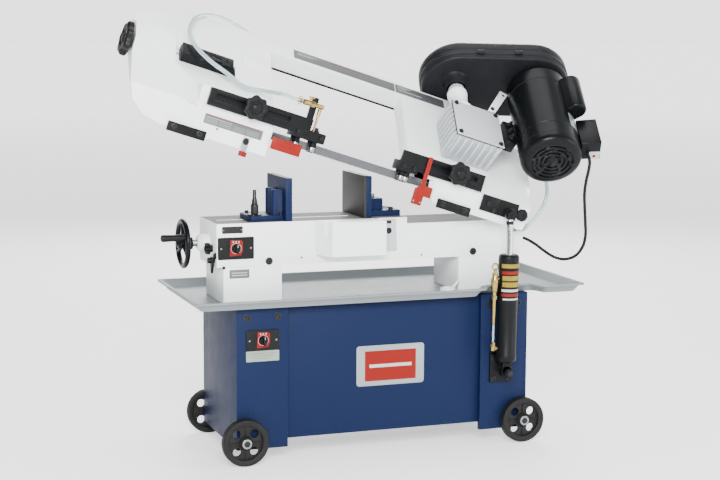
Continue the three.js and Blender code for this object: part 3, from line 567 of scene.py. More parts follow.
def stand_wheel(corner, x, side):
    near, far = 163, 187
    middle = (near + far) / 2
    axle = MACHINE @ Matrix.Translation((x, 0, STAND_WHEEL_Z))
    wheel = Piece(f"{corner}_caster_tyre", f"{corner}_wheel", axle, "rubber")
    cutters = [circle(around((0, 0), 30.5, math.radians(a)), 10.5, 24) for a in (45, 135, 225, 315)]
    web_with_holes(wheel, 44, 15, cutters, sorted((side * (middle - 4), side * (middle + 4))))
    profile = [(43, middle - 9), (46, near + 1.5), (54, near + 0.3), (56.3, near + 1), (57.5, near + 3.5),
        (57.5, middle - 4), (57.0, middle - 3), (57.0, middle + 3), (57.5, middle + 4), (57.5, far - 3.5),
        (56.3, far - 1), (54, far - 0.3), (46, far - 1.5), (43, middle + 9)]
    wheel.lathe([(r, side * h) for r, h in profile], "y", (0, 0), 72)
    hub = [(7.6, near), (13, near), (16, near + 3), (17.5, middle), (16, far - 3), (13, far), (7.6, far)]
    wheel.lathe([(r, side * h) for r, h in hub], "y", (0, 0), 40)
    for a in turn_in(4):
        rib = Matrix.Rotation(a, 4, "Y") @ Matrix.Translation((0, side * (middle + 5), 0))
        wheel.box((14, 44), (-1.6, 1.6), (-1.6, 1.6), round_by=0.8, place=rib)
    wheel.done(f"{corner}_caster")


def web_with_holes(piece, outer, inner, holes, span):
    """Flat disc with round holes, made by filling between the outlines."""
    part = bmesh.new()
    loops = [circle((0, 0), outer, 64), circle((0, 0), inner, 40), *holes]
    edges = []
    for loop in loops:
        verts = [part.verts.new((u, span[0], v)) for u, v in loop]
        edges += [part.edges.new((a, b)) for a, b in zip(verts, verts[1:] + verts[:1])]
    filled = bmesh.ops.triangle_fill(part, use_beauty=True, edges=edges)
    faces = [g for g in filled["geom"] if isinstance(g, bmesh.types.BMFace)]
    raised = bmesh.ops.extrude_face_region(part, geom=faces)
    verts = [g for g in raised["geom"] if isinstance(g, bmesh.types.BMVert)]
    bmesh.ops.translate(part, verts=verts, vec=(0, span[1] - span[0], 0))
    piece.add(part, round_by=0.6)


for x, end in ((-STAND_WHEEL_X, "left"), (STAND_WHEEL_X, "right")):
    for side, place in ((-1, "front"), (1, "rear")):
        stand_wheel(f"{place}_{end}", x, side)


# stand bolts and axle nuts
bolts = Piece("stand_bolts", "base", MACHINE, "bolt")
for x in (-358, -281, 281, 358):
    for side in (-1, 1):
        bolts.bolt("y", (x, 360), side * 160, side, 6.5, 4.5)
for x in (-300, 300):
    bolts.lathe([(0, -160), (3, -160), (2.6, -161.4), (0, -161.8)], "y", (x, 78), 20)
bolts.done()

caps = Piece("axle_nuts", "base", MACHINE, "chrome")
for x in (-STAND_WHEEL_X, STAND_WHEEL_X):
    for side in (-1, 1):
        face, axle = side * 187.4, (x, STAND_WHEEL_Z)
        caps.turned([(11.6, face), (11.6, face + side * 2)], "y", axle, 36, round_by=0.4)
        caps.nut("y", axle, 8.4, sorted((face + side * 2, face + side * 6.4)), look="bolt", round_by=0.7)
caps.done()


def switch_plate(name, x, z, centre, front, label=None):
    """Black plate with a red escutcheon and screws. front is the face that it is fixed to."""
    plate = Piece(name, "base", MACHINE, "black_plastic")
    plate.prism(rectangle(x, z, 3), "y", (front - 3.4, front - 0.1), round_by=0.7)
    u, v = centre
    plate.prism([(u - 16, v - 19), (u + 12, v - 17), (u + 17, v - 6), (u + 17, v + 16), (u + 12, v + 20),
        (u - 14, v + 20)], "y", (front - 4.4, front - 3.2), look="red", round_by=0.5)
    plate.lathe([(12.4, front - 4.3), (13.2, front - 4.3), (13.2, front - 4.5), (12.4, front - 4.5)], "y",
        (u, v), 36, look="label_white")
    for du in (-7, 0, 7):
        plate.box((u + du - 1.4, u + du + 1.4), (front - 4.5, front - 4.2), (v + 14, v + 17.5),
            look="label_white")
    for side in (x[0] + 8, x[1] - 8):
        plate.bolt("y", (side, v), front - 3.3, -1, 2.6, 1.4, washer=False, look="steel")
    if label:
        plate.prism(rectangle(x, label, 1.5), "y", (front - 0.9, front - 0.1), look="label_pale")
        for row in range(3):
            level = label[1] - 6 - 6 * row
            inset = 4 + 9 * row
            plate.box((x[0] + inset, x[1] - inset), (front - 1.0, front - 0.85), (level - 1, level),
                look="grey_plate")
    plate.done()


switch_plate("stand_switch_plate", (-361, -278), (279, 329), (-319, 304), -160, (252, 278))
switch_plate("bed_switch_plate", (-418, -328), (497, 551), (-373, 524), -115)


def switch_knob(node, body, centre, front):
    u, v = centre
    knob = Piece(node + "_turned", body, MACHINE, "black_plastic")
    knob.turned([(11, front), (11, front - 2.5), (10.2, front - 7), (9.2, front - 8)], "y", centre, 40)
    bar = rectangle((u - 3.5, u + 3.5), (v - 11, v + 11), 3)
    knob.prism(bar, "y", (front - 16.8, front - 7), round_by=1.2)
    knob.box((u - 0.6, u + 0.6), (front - 17, front - 16.6), (v + 4, v + 10), look="label_white")
    knob.done(node)


switch_knob("stand_switch_knob", "stand_switch", (-319, 304), -164.6)
switch_knob("bed_switch_knob", "bed_switch", (-373, 524), -119.6)


# plain badge on the front panel
plate = Piece("stand_badge", "base", MACHINE, "silver_plate")
front = -146.7
plate.prism(rectangle((-74, 106), (168, 270), 8), "y", (front - 1.8, front - 0.1), round_by=0.5)
plate.prism(rectangle((-52, 84), (180, 256), 1), "y", (front - 2.2, front - 1.7), look="red_paint")
plate.box((-40, 72), (front - 2.35, front - 2.15), (214, 222), look="label_white")
for x in (-66, 98):
    for z in (176, 262):
        plate.lathe([(0, front - 1.7), (2.4, front - 1.7), (2, front - 2.8), (0, front - 3)], "y", (x, z), 20)
plate.done()


# Bed
top = Piece("table_machining", "base", MACHINE, "table")
for x, y, z in (((-418.5, 68.5), (-33, 48.5), 584), ((-418.5, 68.5), (-113.5, -45), 584),
        ((-418.5, -400.2), (-45, -33), 584), ((-59.8, 68.5), (-45, -33), 584),
        ((71.5, 343.5), (-113.5, 48.5), 568)):
    top.box(x, y, (z + 0.02, z + 0.2))
top.done()

bits = Piece("bed_bolts", "base", MACHINE, "bolt")
for x, z in ((-289, 489), (251, 490)):
    for side, face in ((-1, -115), (1, 50)):
        bits.bolt("y", (x, z), face, side, 6.5, 4.5)
for x, z in ((-206, 494), (110, 487)):
    bits.lathe([(0, -115.1), (2.4, -115.1), (2.2, -116), (0, -116.2)], "y", (x, z), 18)
bits.bolt("y", (-404, 478), -118, -1, 4, 3, washer=False)
bits.done()

plates = Piece("bed_plates", "base", MACHINE, "bolt")
plates.prism(rectangle((-407, -355), (560, 577), 1.5), "y", (-115.9, -115.1), round_by=0.2)
for x in (-403, -359):
    plates.lathe([(0, -115.8), (1.5, -115.8), (1.2, -116.4), (0, -116.6)], "y", (x, 568.5), 14, look="steel")
plates.prism(rectangle((-390, -340), (451, 472), 1.5), "y", (-118.9, -118.1), look="grey_plate", round_by=0.2)
for level in (458, 464):
    plates.box((-384, -346), (-119.05, -118.85), (level - 1, level + 1), look="label_white")
plates.done()

# the stop bracket is the bed's white casting; its grey gearbox paint is painted shade
stop = Piece("stop_bracket", "base", MACHINE, "grey_cast_and_painted_shade")
stop.prism([(-2, 580), (38, 580), (40, 503), (2, 503)], "y", (-124.5, -115.3), round_by=1.5)
stop.box((-2, 38), (-126, -115.3), (574, 580), round_by=1)
stop.bolt("y", (18, 553), -124.5, -1, 5.5, 4)
stop.box((6, 24), (-128, -124), (571, 579), look="bolt", round_by=1)
stop.done()

cup = Piece("drain_cup", "base", MACHINE, "white_sheet")
cup.lathe([(0, 388.7), (19, 388.7), (19, 403), (18, 404.5), (13, 405), (12.4, 398), (0, 397)], "z",
    (172, -140), 40)
cup.tube([(180, -136, 399), (196, -130, 408), (209, -125, 420)], 3.2, 14)
cup.done()


# Vise
handwheel = MACHINE @ Matrix.Translation((-483, -33, 530))
wheel = Piece("vise_handwheel_cast", "handwheel", handwheel, "motor_black")
wheel.lathe([around((54.5, 0), 6.4, a) for a in turn_in(20)], "x", (0, 0), 96)
wheel.turned([(15, 22), (15, 6), (13, 2), (13, -8), (11, -13), (8, -14)], "x", (0, 0), 48)
wheel.turned([(6.5, -14.1), (6.5, -17), (4, -18)], "x", (0, 0), 6, look="bolt")
spoke = [[(x, y, z) for x, y in circle((0, 0), r, 20)]
    for z, r in ((10, 6.6), (20, 5.4), (34, 4.8), (46, 5.0), (52, 6.0))]
for a in turn_in(3):
    wheel.loft(spoke, place=Matrix.Rotation(a, 4, "X"))
wheel.done("vise_handwheel")

grip = Piece("handwheel_grip_turned", "handwheel_grip", MACHINE, "black_plastic")
grip.turned([(6, -549), (8, -547.5), (8.9, -544), (8.7, -538), (8.1, -520), (8.3, -505), (8.5, -500),
    (7.4, -495), (6.2, -491), (6, -490)], "x", (-83.5, 550.5), 40)
grip.done("handwheel_grip")

stud = Piece("jaw_lock_stud", "moving_jaw", MACHINE, "bolt")
stud.turned([(16, 598.1), (17, 600), (13, 602), (9, 603), (9.5, 606), (9.5, 622), (9, 625), (7, 627),
    (6.4, 636), (4.6, 641), (4.2, 660), (3.2, 661.5)], "z", (-316, -82), 40)
for a in turn_in(6):
    stud.rod("z", around((-316, -82), 14, a), 4, (598.3, 602), 16, round_by=0.5)
for x, y in ((-318, -18), (-252, -92)):
    stud.bolt("z", (x, y), 598, 1, 5, 5)
stud.done()

fixed = Piece("fixed_jaw_bolts", "base", MACHINE, "bolt")
for y in (-68, 8):
    fixed.bolt("z", (44, y), 599, 1, 6, 6)
fixed.turned([(8, 628), (8, 636), (6, 638)], "z", (4, -35), 32, look="steel")
fixed.done()

boss = Piece("screw_bush", "base", MACHINE, "white_cast")
boss.lathe([(8.6, -438), (20, -438), (22, -440), (18, -446), (14, -449), (8.6, -449)], "x", (-33, 530), 48)
boss.bolt("x", (-104, 506), -420, -1, 6, 5, socket=False)
boss.done()

star = Piece("bed_end_knob", "base", MACHINE, "black_plastic")
star.turned([(9, -420.2), (9, -427)], "x", (-72, 520), 32)
star.turned([(6, -426), (7, -438), (5, -440)], "x", (-72, 520), 32)
for a in turn_in(6):
    star.lathe([(0, -427), (4.5, -427), (5.2, -432), (4, -437), (0, -438)], "x", around((-72, 520), 10, a),
        16)
star.done()


# Saw head
def lobed_knob(name, body, frame_matrix, centre, axis, front, depth, r):
    """Hand knob with round lobes, a dished face and a centre screw. front is its outer face."""
    knob = Piece(name, body, frame_matrix, "black_plastic")
    lobes, sides = 7, 112

    def ring(shrink, h):
        outline = [around(centre, (r - shrink) * (0.93 + 0.07 * math.cos(lobes * a)), a)
            for a in turn_in(sides)]
        return [AXES[axis] @ Vector((*point, h)) for point in outline]

    back = front + depth
    knob.loft([ring(r * 0.30, back), ring(r * 0.12, back - depth * 0.12), ring(0, back - depth * 0.3),
        ring(0, front + depth * 0.22), ring(r * 0.06, front + depth * 0.06), ring(r * 0.14, front),
        ring(r * 0.42, front + depth * 0.04), ring(r * 0.5, front + depth * 0.16)])
    knob.turned([(r * 0.34, front + depth * 0.3), (r * 0.3, front + 1), (r * 0.2, front - 1)], axis, centre,
        32)
    return knob


# clamp knobs of the guide arms
for x, word in ((-796, "left"), (-249, "right")):
    knob = lobed_knob(f"{word}_guide_knob_moulded", f"{word}_guide_knob", HEAD, (x, 74), "y", -215, 18, 30)
    knob.turned([(17, -198), (19, -194), (18, -189.4)], "y", (x, 74), 40)
    knob.rod("y", (x, 74), 4.6, (-190, -177.4), look="steel")
    knob.done(f"{word}_guide_knob")


# blade tension
knob = lobed_knob("tension_knob_moulded", "tension_knob", BOW, (-26, 0), "x", -1113.4, 21, 42.4)
knob.rod("x", (-26, 0), 5.6, (-1094, -972.6), 32, look="steel")
knob.done("tension_knob")

slide = Piece("tension_slide_machined", "tension_slide", BOW, "black_paint")
for x, y, z, round_by in (
        ((-971.8, -838.2), (-44, -30.5), (-24.6, 24.6), 1.2), ((-971, -926), (-51.6, -43), (-24, 24), 1.5),
        ((-926, -838.5), (-49, -43), (-24, -9), 1.2), ((-926, -838.5), (-49, -43), (9, 24), 1.2),
        ((-872, -840), (-51.4, -43), (-16, 16), 1.5),
        ((-971.8, -838.2), (-34.8, -16.2), (-21.2, 21.2), 0.8)):
    slide.box(x, y, z, round_by=round_by)
slide.rod("x", (-47, 0), 4.4, (-930, -868), 28, look="bolt")
for x in (-912, -896):
    slide.nut("x", (-47, 0), 7.4, (x, x + 7), look="bolt", round_by=0.6)
for x, z in ((-958, 15), (-958, -15), (-934, 0), (-914, 17), (-888, 17), (-914, -17), (-888, -17), (-856, 9),
        (-856, -9)):
    slide.bolt("y", (x, z), -51.5 if x < -930 or x > -860 else -49, -1, 3.6, 2.6, washer=False)
slide.rod("y", (-905, 0), 9.9, (-20, 11.4), 40, look="steel")
slide.done("tension_slide")

stops = Piece("tension_window_ends", "saw_head", BOW, "white_cast")
for x in ((-985.5, -973), (-828, -814.5)):
    stops.box(x, (-31, -28), (-23, 23), round_by=0.8)
stops.done()


# guide arms and blade guards
for word, start, end, body in (("left", -683, -603, "left_guide"), ("right", -398, -350, "right_guide")):
    bits = Piece(f"{word}_guide_bearings", body, HEAD, "bolt")
    for x in (start + 18, end - 18):
        for side in (-1, 1):
            y = CUT_Y + side * 9.8
            bits.lathe([(3, 15.6), (9.15, 15.6), (9.15, 27), (3, 27)], "z", (x, y), 40, look="steel",
                round_by=0.5)
            bits.turned([(5, 13.5), (5, 16)], "z", (x, y), 6)
            bits.nut("z", (x, y), 7, (64, 69), round_by=0.8)
            bits.rod("z", (x, y), 3.4, (68, 75), 20)
    for x in (start + 10, end - 10):
        bits.bolt("y", (x, 53), -189, -1, 5, 5, washer=False)
    bits.done()
    rails = Piece(f"{word}_guide_ribs", body, HEAD, "black_paint")
    bar = (-905, -645) if word == "left" else (-398, -171)
    slot = (-893, -697) if word == "left" else (-328, -187)
    for z in ((82.5, 86.5), (59.5, 63.5)):
        rails.box(slot, (-191, -188.8), z, round_by=0.8)
    rails.box((bar[0] + 0.5, bar[1] - 0.5), (-190.2, -188.8), (50, 52.5), round_by=0.5)
    rails.box((slot[0] + 1, slot[1] - 1), (-179.4, -177.6), (67, 81))
    rails.done()
guard = Piece("left_blade_guard", "left_guide", HEAD, "red_paint")
guard.prism([(-186, -6), (-184.4, -6), (-184.4, 21.4), (-160.5, 21.4), (-160.5, 23), (-186, 23)], "x",
    (-728, -652), round_by=0.4)
guard.done()

guard = Piece("right_blade_guard", "right_guide", HEAD, "red_paint")
guard.prism([(-346, -30), (-318, -30), (-318, -6), (-300, -6), (-300, 20), (-322, 20), (-322, 92), (-333, 92),
    (-333, 20), (-346, 8)], "y", (-193.6, -191.6), round_by=0.6)
guard.box((-333, -300), (-192.5, -180), (18.5, 20.5), round_by=0.6)
for x in (-341, -323):
    guard.lathe([(0, -193.5), (2.6, -193.5), (2.2, -194.6), (0, -194.9)], "y", (x, -22), 18, look="steel")
guard.done()


# coolant nozzle
tap = Piece("coolant_nozzle_turned", "left_guide", HEAD, "brass")
tap.turned([(5, -700), (5.8, -698), (4.6, -694), (5.8, -690), (4.6, -686), (7, -684), (7, -674), (6, -672),
    (6, -664)], "x", (-196, 124), 32)
tap.nut("x", (-196, 124), 8.6, (-664, -656), round_by=0.7)
tap.turned([(5.5, -656), (5.5, -642), (4.5, -640)], "x", (-196, 124), 32)
tap.turned([(3, 130), (3, 138)], "z", (-668, -196), 20)
tap.box((-676, -660), (-197.2, -194.8), (136, 141), round_by=0.8)
tap.turned([(4.4, 100), (4.4, 118), (3.4, 119)], "z", (-640, -196), 24)
tap.turned([(1.6, 62), (2.4, 66), (2.9, 76), (3, 101)], "z", (-640, -196), 24, look="copper")
tap.turned([(5.4, -650), (5.4, -634), (4, -632)], "x", (-196, 124), 28)
tap.tube([(-696, -191, 131), (-694, -196, 134), (-692, -201, 131), (-690, -203, 124), (-692, -201, 117),
    (-694, -196, 114), (-696, -191, 117)], 0.9, 10, look="steel")
tap.done("coolant_nozzle")


# plates, labels and knobs on the head
bits = Piece("head_plates", "saw_head", HEAD, "bolt")
for x, z in (((-979, -884), (-37, -14)), ((-273, -180), (-21, 2))):
    bits.prism(rectangle(x, z, 1.5), "y", (-181.5, -177.3), look="black_paint", round_by=0.6)
    for at in (x[0] + 16, x[1] - 16):
        bits.bolt("y", (at, (z[0] + z[1]) / 2 + 2), -181.5, -1, 5, 4)
bits.lathe([(0, -177.2), (2.6, -177.2), (2.4, -178), (0, -178.2)], "y", (-862, 0), 20)
bits.done()

label = Piece("head_label", "saw_head", HEAD, "grey_plate")
label.prism(rectangle((-899, -752), (5, 28), 1), "y", (-177.8, -177.1), round_by=0.2)
label.box((-895, -760), (-177.95, -177.75), (25, 26.2), look="red")
label.box((-895, -830), (-177.95, -177.75), (21.2, 22), look="label_white")
for column in range(4):
    for row in range(3):
        left = -895 + 34.5 * column
        label.box((left, left + 30), (-177.92, -177.75), (9 + 4 * row, 10.4 + 4 * row), look="label_pale")
label.done()

clip = Piece("guide_clip", "saw_head", HEAD, "silver_plate")
clip.box((-795, -779), (-179.6, -177.2), (-26, 2), round_by=0.6)
clip.bolt("y", (-787, -8), -179.6, -1, 5.6, 5, look="bolt")
clip.box((-796, -778), (-186, -177.2), (-44, -32), look="red", round_by=1)
clip.box((-793, -781), (-180, -177.4), (-34, -24), look="silver_plate", round_by=0.6)
clip.done()

stop = Piece("limit_knob", "saw_head", HEAD, "black_plastic")
stop.turned([(7, -177.3), (8, -181), (14, -182), (15, -184), (15, -191), (13, -193), (6, -193.4), (5, -192)],
    "y", (-44, 24), 48)
for a in turn_in(9):
    stop.rod("y", around((-44, 24), 13.4, a), 2.6, (-192, -183), 14, round_by=0.6)
stop.done()

trip = Piece("feed_bracket_bolts", "saw_head", HEAD, "bolt")
trip.bolt("y", (-140, 27), -184, -1, 6.5, 5)
trip.bolt("y", (-122, 14), -184, -1, 5, 4)
trip.prism([(-158, 8), (-104, 8), (-112, 24), (-112, 46), (-158, 46)], "y", (-185.4, -184), round_by=0.4,
    look="black_paint")
trip.done()

recess = Piece("housing_panel", "saw_head", BOW, "white_cast")
recess.prism(rectangle((-809, -732), (44, 88), 12), "y", (-33.4, -29.6), round_by=1.6, segments=3)
recess.prism(arc((-905, 0), 166, 186, 262, 30) + arc((-905, 0), 160, 262, 186, 30), "y", (-31.4, -29.6),
    round_by=0.8)
recess.done()

beam = Piece("beam_label", "saw_head", BOW, "grey_plate")
for x in ((-665, -379), (-377, -234)):
    beam.prism(rectangle(x, (138, 170), 1), "y", (-30.8, -30.1), round_by=0.2)
beam.box((-560, -430), (-30.95, -30.75), (165.5, 166.6), look="red")
for x0, x1, z in ((-655, -600, 160), (-655, -610, 155), (-370, -330, 163), (-370, -345, 158),
        (-370, -300, 150)):
    beam.box((x0, x1), (-30.95, -30.75), (z, z + 1.2), look="label_white")
beam.done()


# gearbox and motor mount
fins = Piece("gearbox_fins", "saw_head", BOW, "grey_cast_and_painted_shade")
for k in range(7):
    x, z = -262 + 18.4 * k, -58 + 17.2 * k
    fins.prism([(-114, -62.2), (-36, -62.2), (-38, -68), (-44, -72), (-106, -72), (-112, -68)], "x",
        (x, x + 6.5), round_by=1.4, segments=3)
    fins.prism([(-266.2, -114), (-266.2, -36), (-271, -38), (-274, -46), (-274, -104), (-271, -112)], "z",
        (z, z + 6), round_by=1.4, segments=3)
fins.done()

cover = Piece("gearbox_cover_bolts", "saw_head", BOW, "bolt")
for x in (-258, -144):
    for z in (-54, 54):
        cover.bolt("y", (x, z), -120, -1, 4.6, 3.6)
cover.box((-269.4, -132.6), (-116.7, -115.5), (-65.4, 65.4), look="black_plastic")
cover.done()

collar = Piece("gearbox_neck", "saw_head", BOW, "white_cast")
collar.lathe([(21.2, 62.2), (31, 62.2), (33, 66), (30, 70), (25, 76), (24, 100), (25, 118), (26, 120),
    (26, 132), (21.2, 132)], "z", (-230, -90), 56)
for a in (45, 135, 225, 315):
    collar.turned([(4, 70), (4, 74)], "z", around((-230, -90), 29, math.radians(a)), 16, look="bolt")
collar.done()

strap = Piece("belt_guard_strap", "saw_head", BOW, "white_sheet")
strap.prism([(-168, 60), (-146, 60), (-96, 152), (-118, 158)], "y", (-126, -122.6), round_by=0.6)
strap.bolt("y", (-154, 70), -126, -1, 4, 3)
strap.turned([(4, -125.9), (4, -126.2)], "y", (-111, 142), 24, look="black_plastic")
strap.done()

mount = Piece("motor_mount", "saw_head", BOW, "black_paint")
mount.box((-133, -104), (-131, -97), (-44, 29), round_by=2)
for z in (-32, -10, 14):
    mount.nut("y", (-118, z), 8, (-139, -131), look="bolt", round_by=0.8)
    mount.rod("y", (-118, z), 4, (-147, -138), 20, look="bolt")
mount.done()


# Belt guard
GUARD_LEFT, GUARD_RIGHT = (-210, -78), (-34, -147)      # centres of its round ends
GUARD_TILT = math.degrees(math.atan2(GUARD_RIGHT[1] - GUARD_LEFT[1], GUARD_RIGHT[0] - GUARD_LEFT[0]))


def guard_outline(r):
    return (arc(GUARD_LEFT, r, GUARD_TILT + 90, GUARD_TILT + 270, 28)
        + arc(GUARD_RIGHT, r, GUARD_TILT - 90, GUARD_TILT + 90, 28))


def guard_rings(*profile):
    return [[(u, v, z) for u, v in guard_outline(r)] for r, z in profile]


base = Piece("belt_guard_base_moulded", "saw_head", BOW, "guard_black")
base.loft(guard_rings((86, 184.5), (90, 184.2), (94, 184), (97, 184.6), (98.6, 186.4), (99.4, 190),
    (100.2, 200), (101, 201), (102.8, 202), (103, 203), (103, 205.8), (99.5, 205.8), (98.5, 192), (90, 187.2),
    (86, 187.2)))
base.lathe([(25, 151), (27, 151), (28, 153), (28, 176), (34, 183.8), (25, 183.8)], "z", (-230, -90), 48)
base.prism(guard_outline(87), "z", (184.6, 187))
base.done("belt_guard_base")

lid = Piece("belt_guard_lid_moulded", "guard_lid", BOW, "guard_black")
lid.loft(guard_rings((100, 206.4), (103, 206.4), (103, 209), (102.4, 210), (102.4, 213.4), (103, 214.4),
    (102.6, 232), (101.4, 240), (98.4, 245.6), (93, 249), (86, 250), (60, 250), (20, 250), (20, 247),
    (60, 247), (92, 246), (98, 240), (100, 232)))
lid.prism(guard_outline(20.5), "z", (247.1, 249.9))
middle = (Vector(GUARD_LEFT) + Vector(GUARD_RIGHT)) / 2
grip = Matrix.Translation((*middle, 0)) @ Matrix.Rotation(math.radians(GUARD_TILT), 4, "Z")
lid.box((-42, 42), (-102.95, -101.9), (225, 231), place=grip, round_by=0.4, look="bolt")
lid.box((-38, 38), (-103, -101.9), (227, 229), place=grip, look="black_plastic")
lid.done("belt_guard_lid")

hinge = Piece("belt_guard_hinge", "saw_head", BOW, "bolt")
for offset in (-60, 40):
    hinge.rod("x", (0, 0), 2.6, (offset, offset + 20), 20, place=grip @ Matrix.Translation((0, -106.2, 204)))
    hinge.box((offset, offset + 20), (-106, -103.2), (196, 204.6), place=grip, round_by=0.6)
hinge.done()


# Motor
MOTOR = (-28, -160)


def ring_sector(centre, inner, outer, start, end, steps=10):
    return arc(centre, outer, start, end, steps) + arc(centre, inner, end, start, steps)


def on_motor(angle, r):
    return around(MOTOR, r, math.radians(angle))


def bake(piece):
    """Applies a piece's modifiers to its mesh."""
    bpy.context.view_layer.update()
    graph = bpy.context.evaluated_depsgraph_get()
    data = bpy.data.meshes.new_from_object(piece.evaluated_get(graph))
    piece.modifiers.clear()
    piece.data = data


body = Piece("motor_shell", "saw_head", BOW, "motor_black")
low_z, high_z, r = -80, 183.7, 78
body.turned([(r - 1, low_z + 0.2), (r, low_z + 1), (r, -46), (r - 1, -45), (r - 1, -43), (r, -42), (r, 120),
    (r - 1.2, 121), (r - 1.2, 123.4), (r, 124.4), (r, 160), (r - 1, 166), (r - 5, 174), (r - 14, 181),
    (r - 26, high_z)], "z", MOTOR, 128)
for a in (45, 135, 225, 315):
    body.rod("z", on_motor(a, 70), 4, (172, 181), 18, look="bolt")
body.box((-133.4, -100), (-131.8, -96.2), (-44.8, 29.8), round_by=3)
plate = arc(MOTOR, r + 0.6, -72, -40, 12) + arc(MOTOR, r - 1, -40, -72, 12)
body.prism(plate, "z", (-38, 10), look="silver_plate", round_by=0.2)
body.done("motor_body")

cowl = Piece("fan_cowl_pressed", "saw_head", BOW, "motor_black")
outer = [(0, -112), (20, -112), (56, -111.6), (64, -110.4), (71, -107.6), (75.4, -103), (77.6, -97),
    (78, -92), (78, -80.4)]
inner = [(76, -80.4), (76, -92), (73.6, -101), (68, -106.4), (58, -109), (20, -109.4), (0, -109.4)]
cowl.lathe(outer + inner, "z", MOTOR, 128)
shell = cowl.done("fan_cowl")
cutter = Piece("slot_cutter", "saw_head", BOW, "motor_black")
for inner_r, outer_r, count in ((16, 21, 3), (27, 32, 4), (38, 43, 5), (49, 54, 6)):
    step = 360 / count
    for k in range(count):
        start = k * step + 4 + inner_r
        cutter.prism(ring_sector(MOTOR, inner_r, outer_r, start, start + step - 420 / inner_r - 3), "z",
            (-130, -100))
tool = cutter.done()
slots = shell.modifiers.new("slots", "BOOLEAN")
slots.operation = "DIFFERENCE"
slots.solver = "EXACT"
slots.object = tool
bake(shell)
bpy.data.objects.remove(tool)
fan = Piece("motor_fan", "rotor", BOW, "black_plastic")
for a in turn_in(9):
    blade = Matrix.Translation((*MOTOR, 0)) @ Matrix.Rotation(a, 4, "Z")
    fan.box((10, 56), (-1, 1), (-97.8, -88), place=blade)
fan.turned([(57, -106.6), (57, -105.8)], "z", MOTOR, 64)
fan.done()


def capacitor_outline(shrink):
    half = arc(on_motor(-57, 93), 25 - shrink, -57 - 96, -57 + 96, 24)
    return half + [on_motor(-39 - shrink * 0.4, 79), on_motor(-48, 77), on_motor(-57, 76.5),
        on_motor(-66, 77), on_motor(-75 + shrink * 0.4, 79)]


cover = Piece("capacitor_cover_pressed", "saw_head", BOW, "motor_black")
cover.loft([[(u, v, z) for u, v in capacitor_outline(shrink)] for shrink, z in ((7, 20.2), (3, 21.2),
    (1, 23.6), (0, 27), (0, 131), (1, 134.4), (3, 136.8), (7, 137.8))])
cover.done("capacitor_cover")

box = Piece("terminal_box_pressed", "saw_head", BOW, "motor_black")
corners = [on_motor(-39, 132), on_motor(-14, 132), on_motor(-6, 80.5), on_motor(-16, 78.8),
    on_motor(-26, 78.6), on_motor(-36, 78.8), on_motor(-46, 80.5)]
box.prism(corners, "z", (-78, 12), round_by=3.5, segments=3)
box.prism(ring_sector(MOTOR, 100, 127, -25, -13, 4), "z", (-78.7, -77.8), look="label_white", round_by=0.2)
box.prism(ring_sector(MOTOR, 110, 118, -20, -16, 3), "z", (-78.9, -78.5), look="red")
start, end = Vector(on_motor(-39, 132.1)), Vector(on_motor(-14, 132.1))
along = (end - start).normalized()
out = Vector((along.y, -along.x))
for from_start, from_end, thick, span, look in ((12, 10, 0.7, (-40, 0), "label_white"),
        (26, 24, 0.9, (-24, -16), "red")):
    near, far = start + along * from_start, end - along * from_end
    box.prism([near, far, far + out * thick, near + out * thick], "z", span, look=look)
box.done("motor_terminal_box")


# Feed cylinder
barrel = Piece("feed_cylinder_barrel", "feed_cylinder", FEED, "black_paint")
barrel.turned([(20, 26), (23, 28), (25.4, 31), (26, 33), (26, 46), (25, 48), (25, 252), (26, 254), (26, 292),
    (25.4, 296), (22, 300), (9, 300), (8.6, 298)], "z", (0, 0), 72)
barrel.prism(rectangle((-12, 12), (-9, 9), 2), "z", (-2, 30), round_by=1.5)
barrel.lathe([(7.6, -9), (14.6, -9), (15, -8.4), (15, 8.4), (14.6, 9), (7.6, 9)], "y", (0, 0), 48)
for spread, z, r, look in ((74, (182, 250), 25.2, "black_plastic"), (66, (268, 278), 26.35, "label_yellow"),
        (66, (252, 260), 26.35, "red"), (60, (236, 248), 25.4, "label_yellow"),
        (60, (220, 232), 25.4, "label_yellow"), (64, (208, 214), 25.4, "label_white"),
        (64, (196, 203), 25.4, "red"), (54, (187, 191), 25.4, "label_white")):
    barrel.prism(ring_sector((0, 0), r - 0.6, r, 270 - spread, 270 + spread, 24), "z", z, look=look)
barrel.done("feed_cylinder")

rod = Piece("feed_rod_turned", "feed_rod", FEED, "chrome")
rod.turned([(8, 120), (8, FEED_LENGTH - 16), (7, FEED_LENGTH - 13)], "z", (0, 0), 48)
rod.lathe([(11, -5), (14.6, -5), (15, -4.5), (15, 4.5), (14.6, 5), (11, 5)], "y", (0, FEED_LENGTH), 48,
    look="bolt")
rod.turned([(10.5, FEED_LENGTH - 26), (10.5, FEED_LENGTH - 17)], "z", (0, 0), 6, look="bolt")
rod.done("feed_rod")

x = -37         # the line's place beside the cylinder
line = Piece("feed_valve_line", "feed_cylinder", FEED, "brass")
for profile, sides in (([(6, 56), (6.5, 57), (6.5, 66)], 32), ([(6.2, 66), (6.2, 76), (4.4, 79)], 6),
        ([(3.4, 122), (4, 124), (4.6, 150), (5.4, 184), (6, 187)], 32),
        ([(6, 197), (6, 206), (8.4, 208), (8.4, 214)], 32),
        ([(8.6, 214), (10, 217), (10, 236), (8.8, 240), (7, 243), (7, 253.8)], 40)):
    line.turned(profile, "z", (x, 0), sides)
for z, r, start, end in ((62, 6.8, -32, -27), (240, 7.2, -33, -27.5)):
    line.rod("x", (0, z), 5, (x, -26.2), 28)
    line.nut("x", (0, z), r, (start, end), round_by=0.6)
line.rod("z", (x, 0), 2.6, (76, 124), 24, look="hose")
line.nut("z", (x, 0), 8, (187, 197), round_by=0.7)
line.done("feed_valve_body")

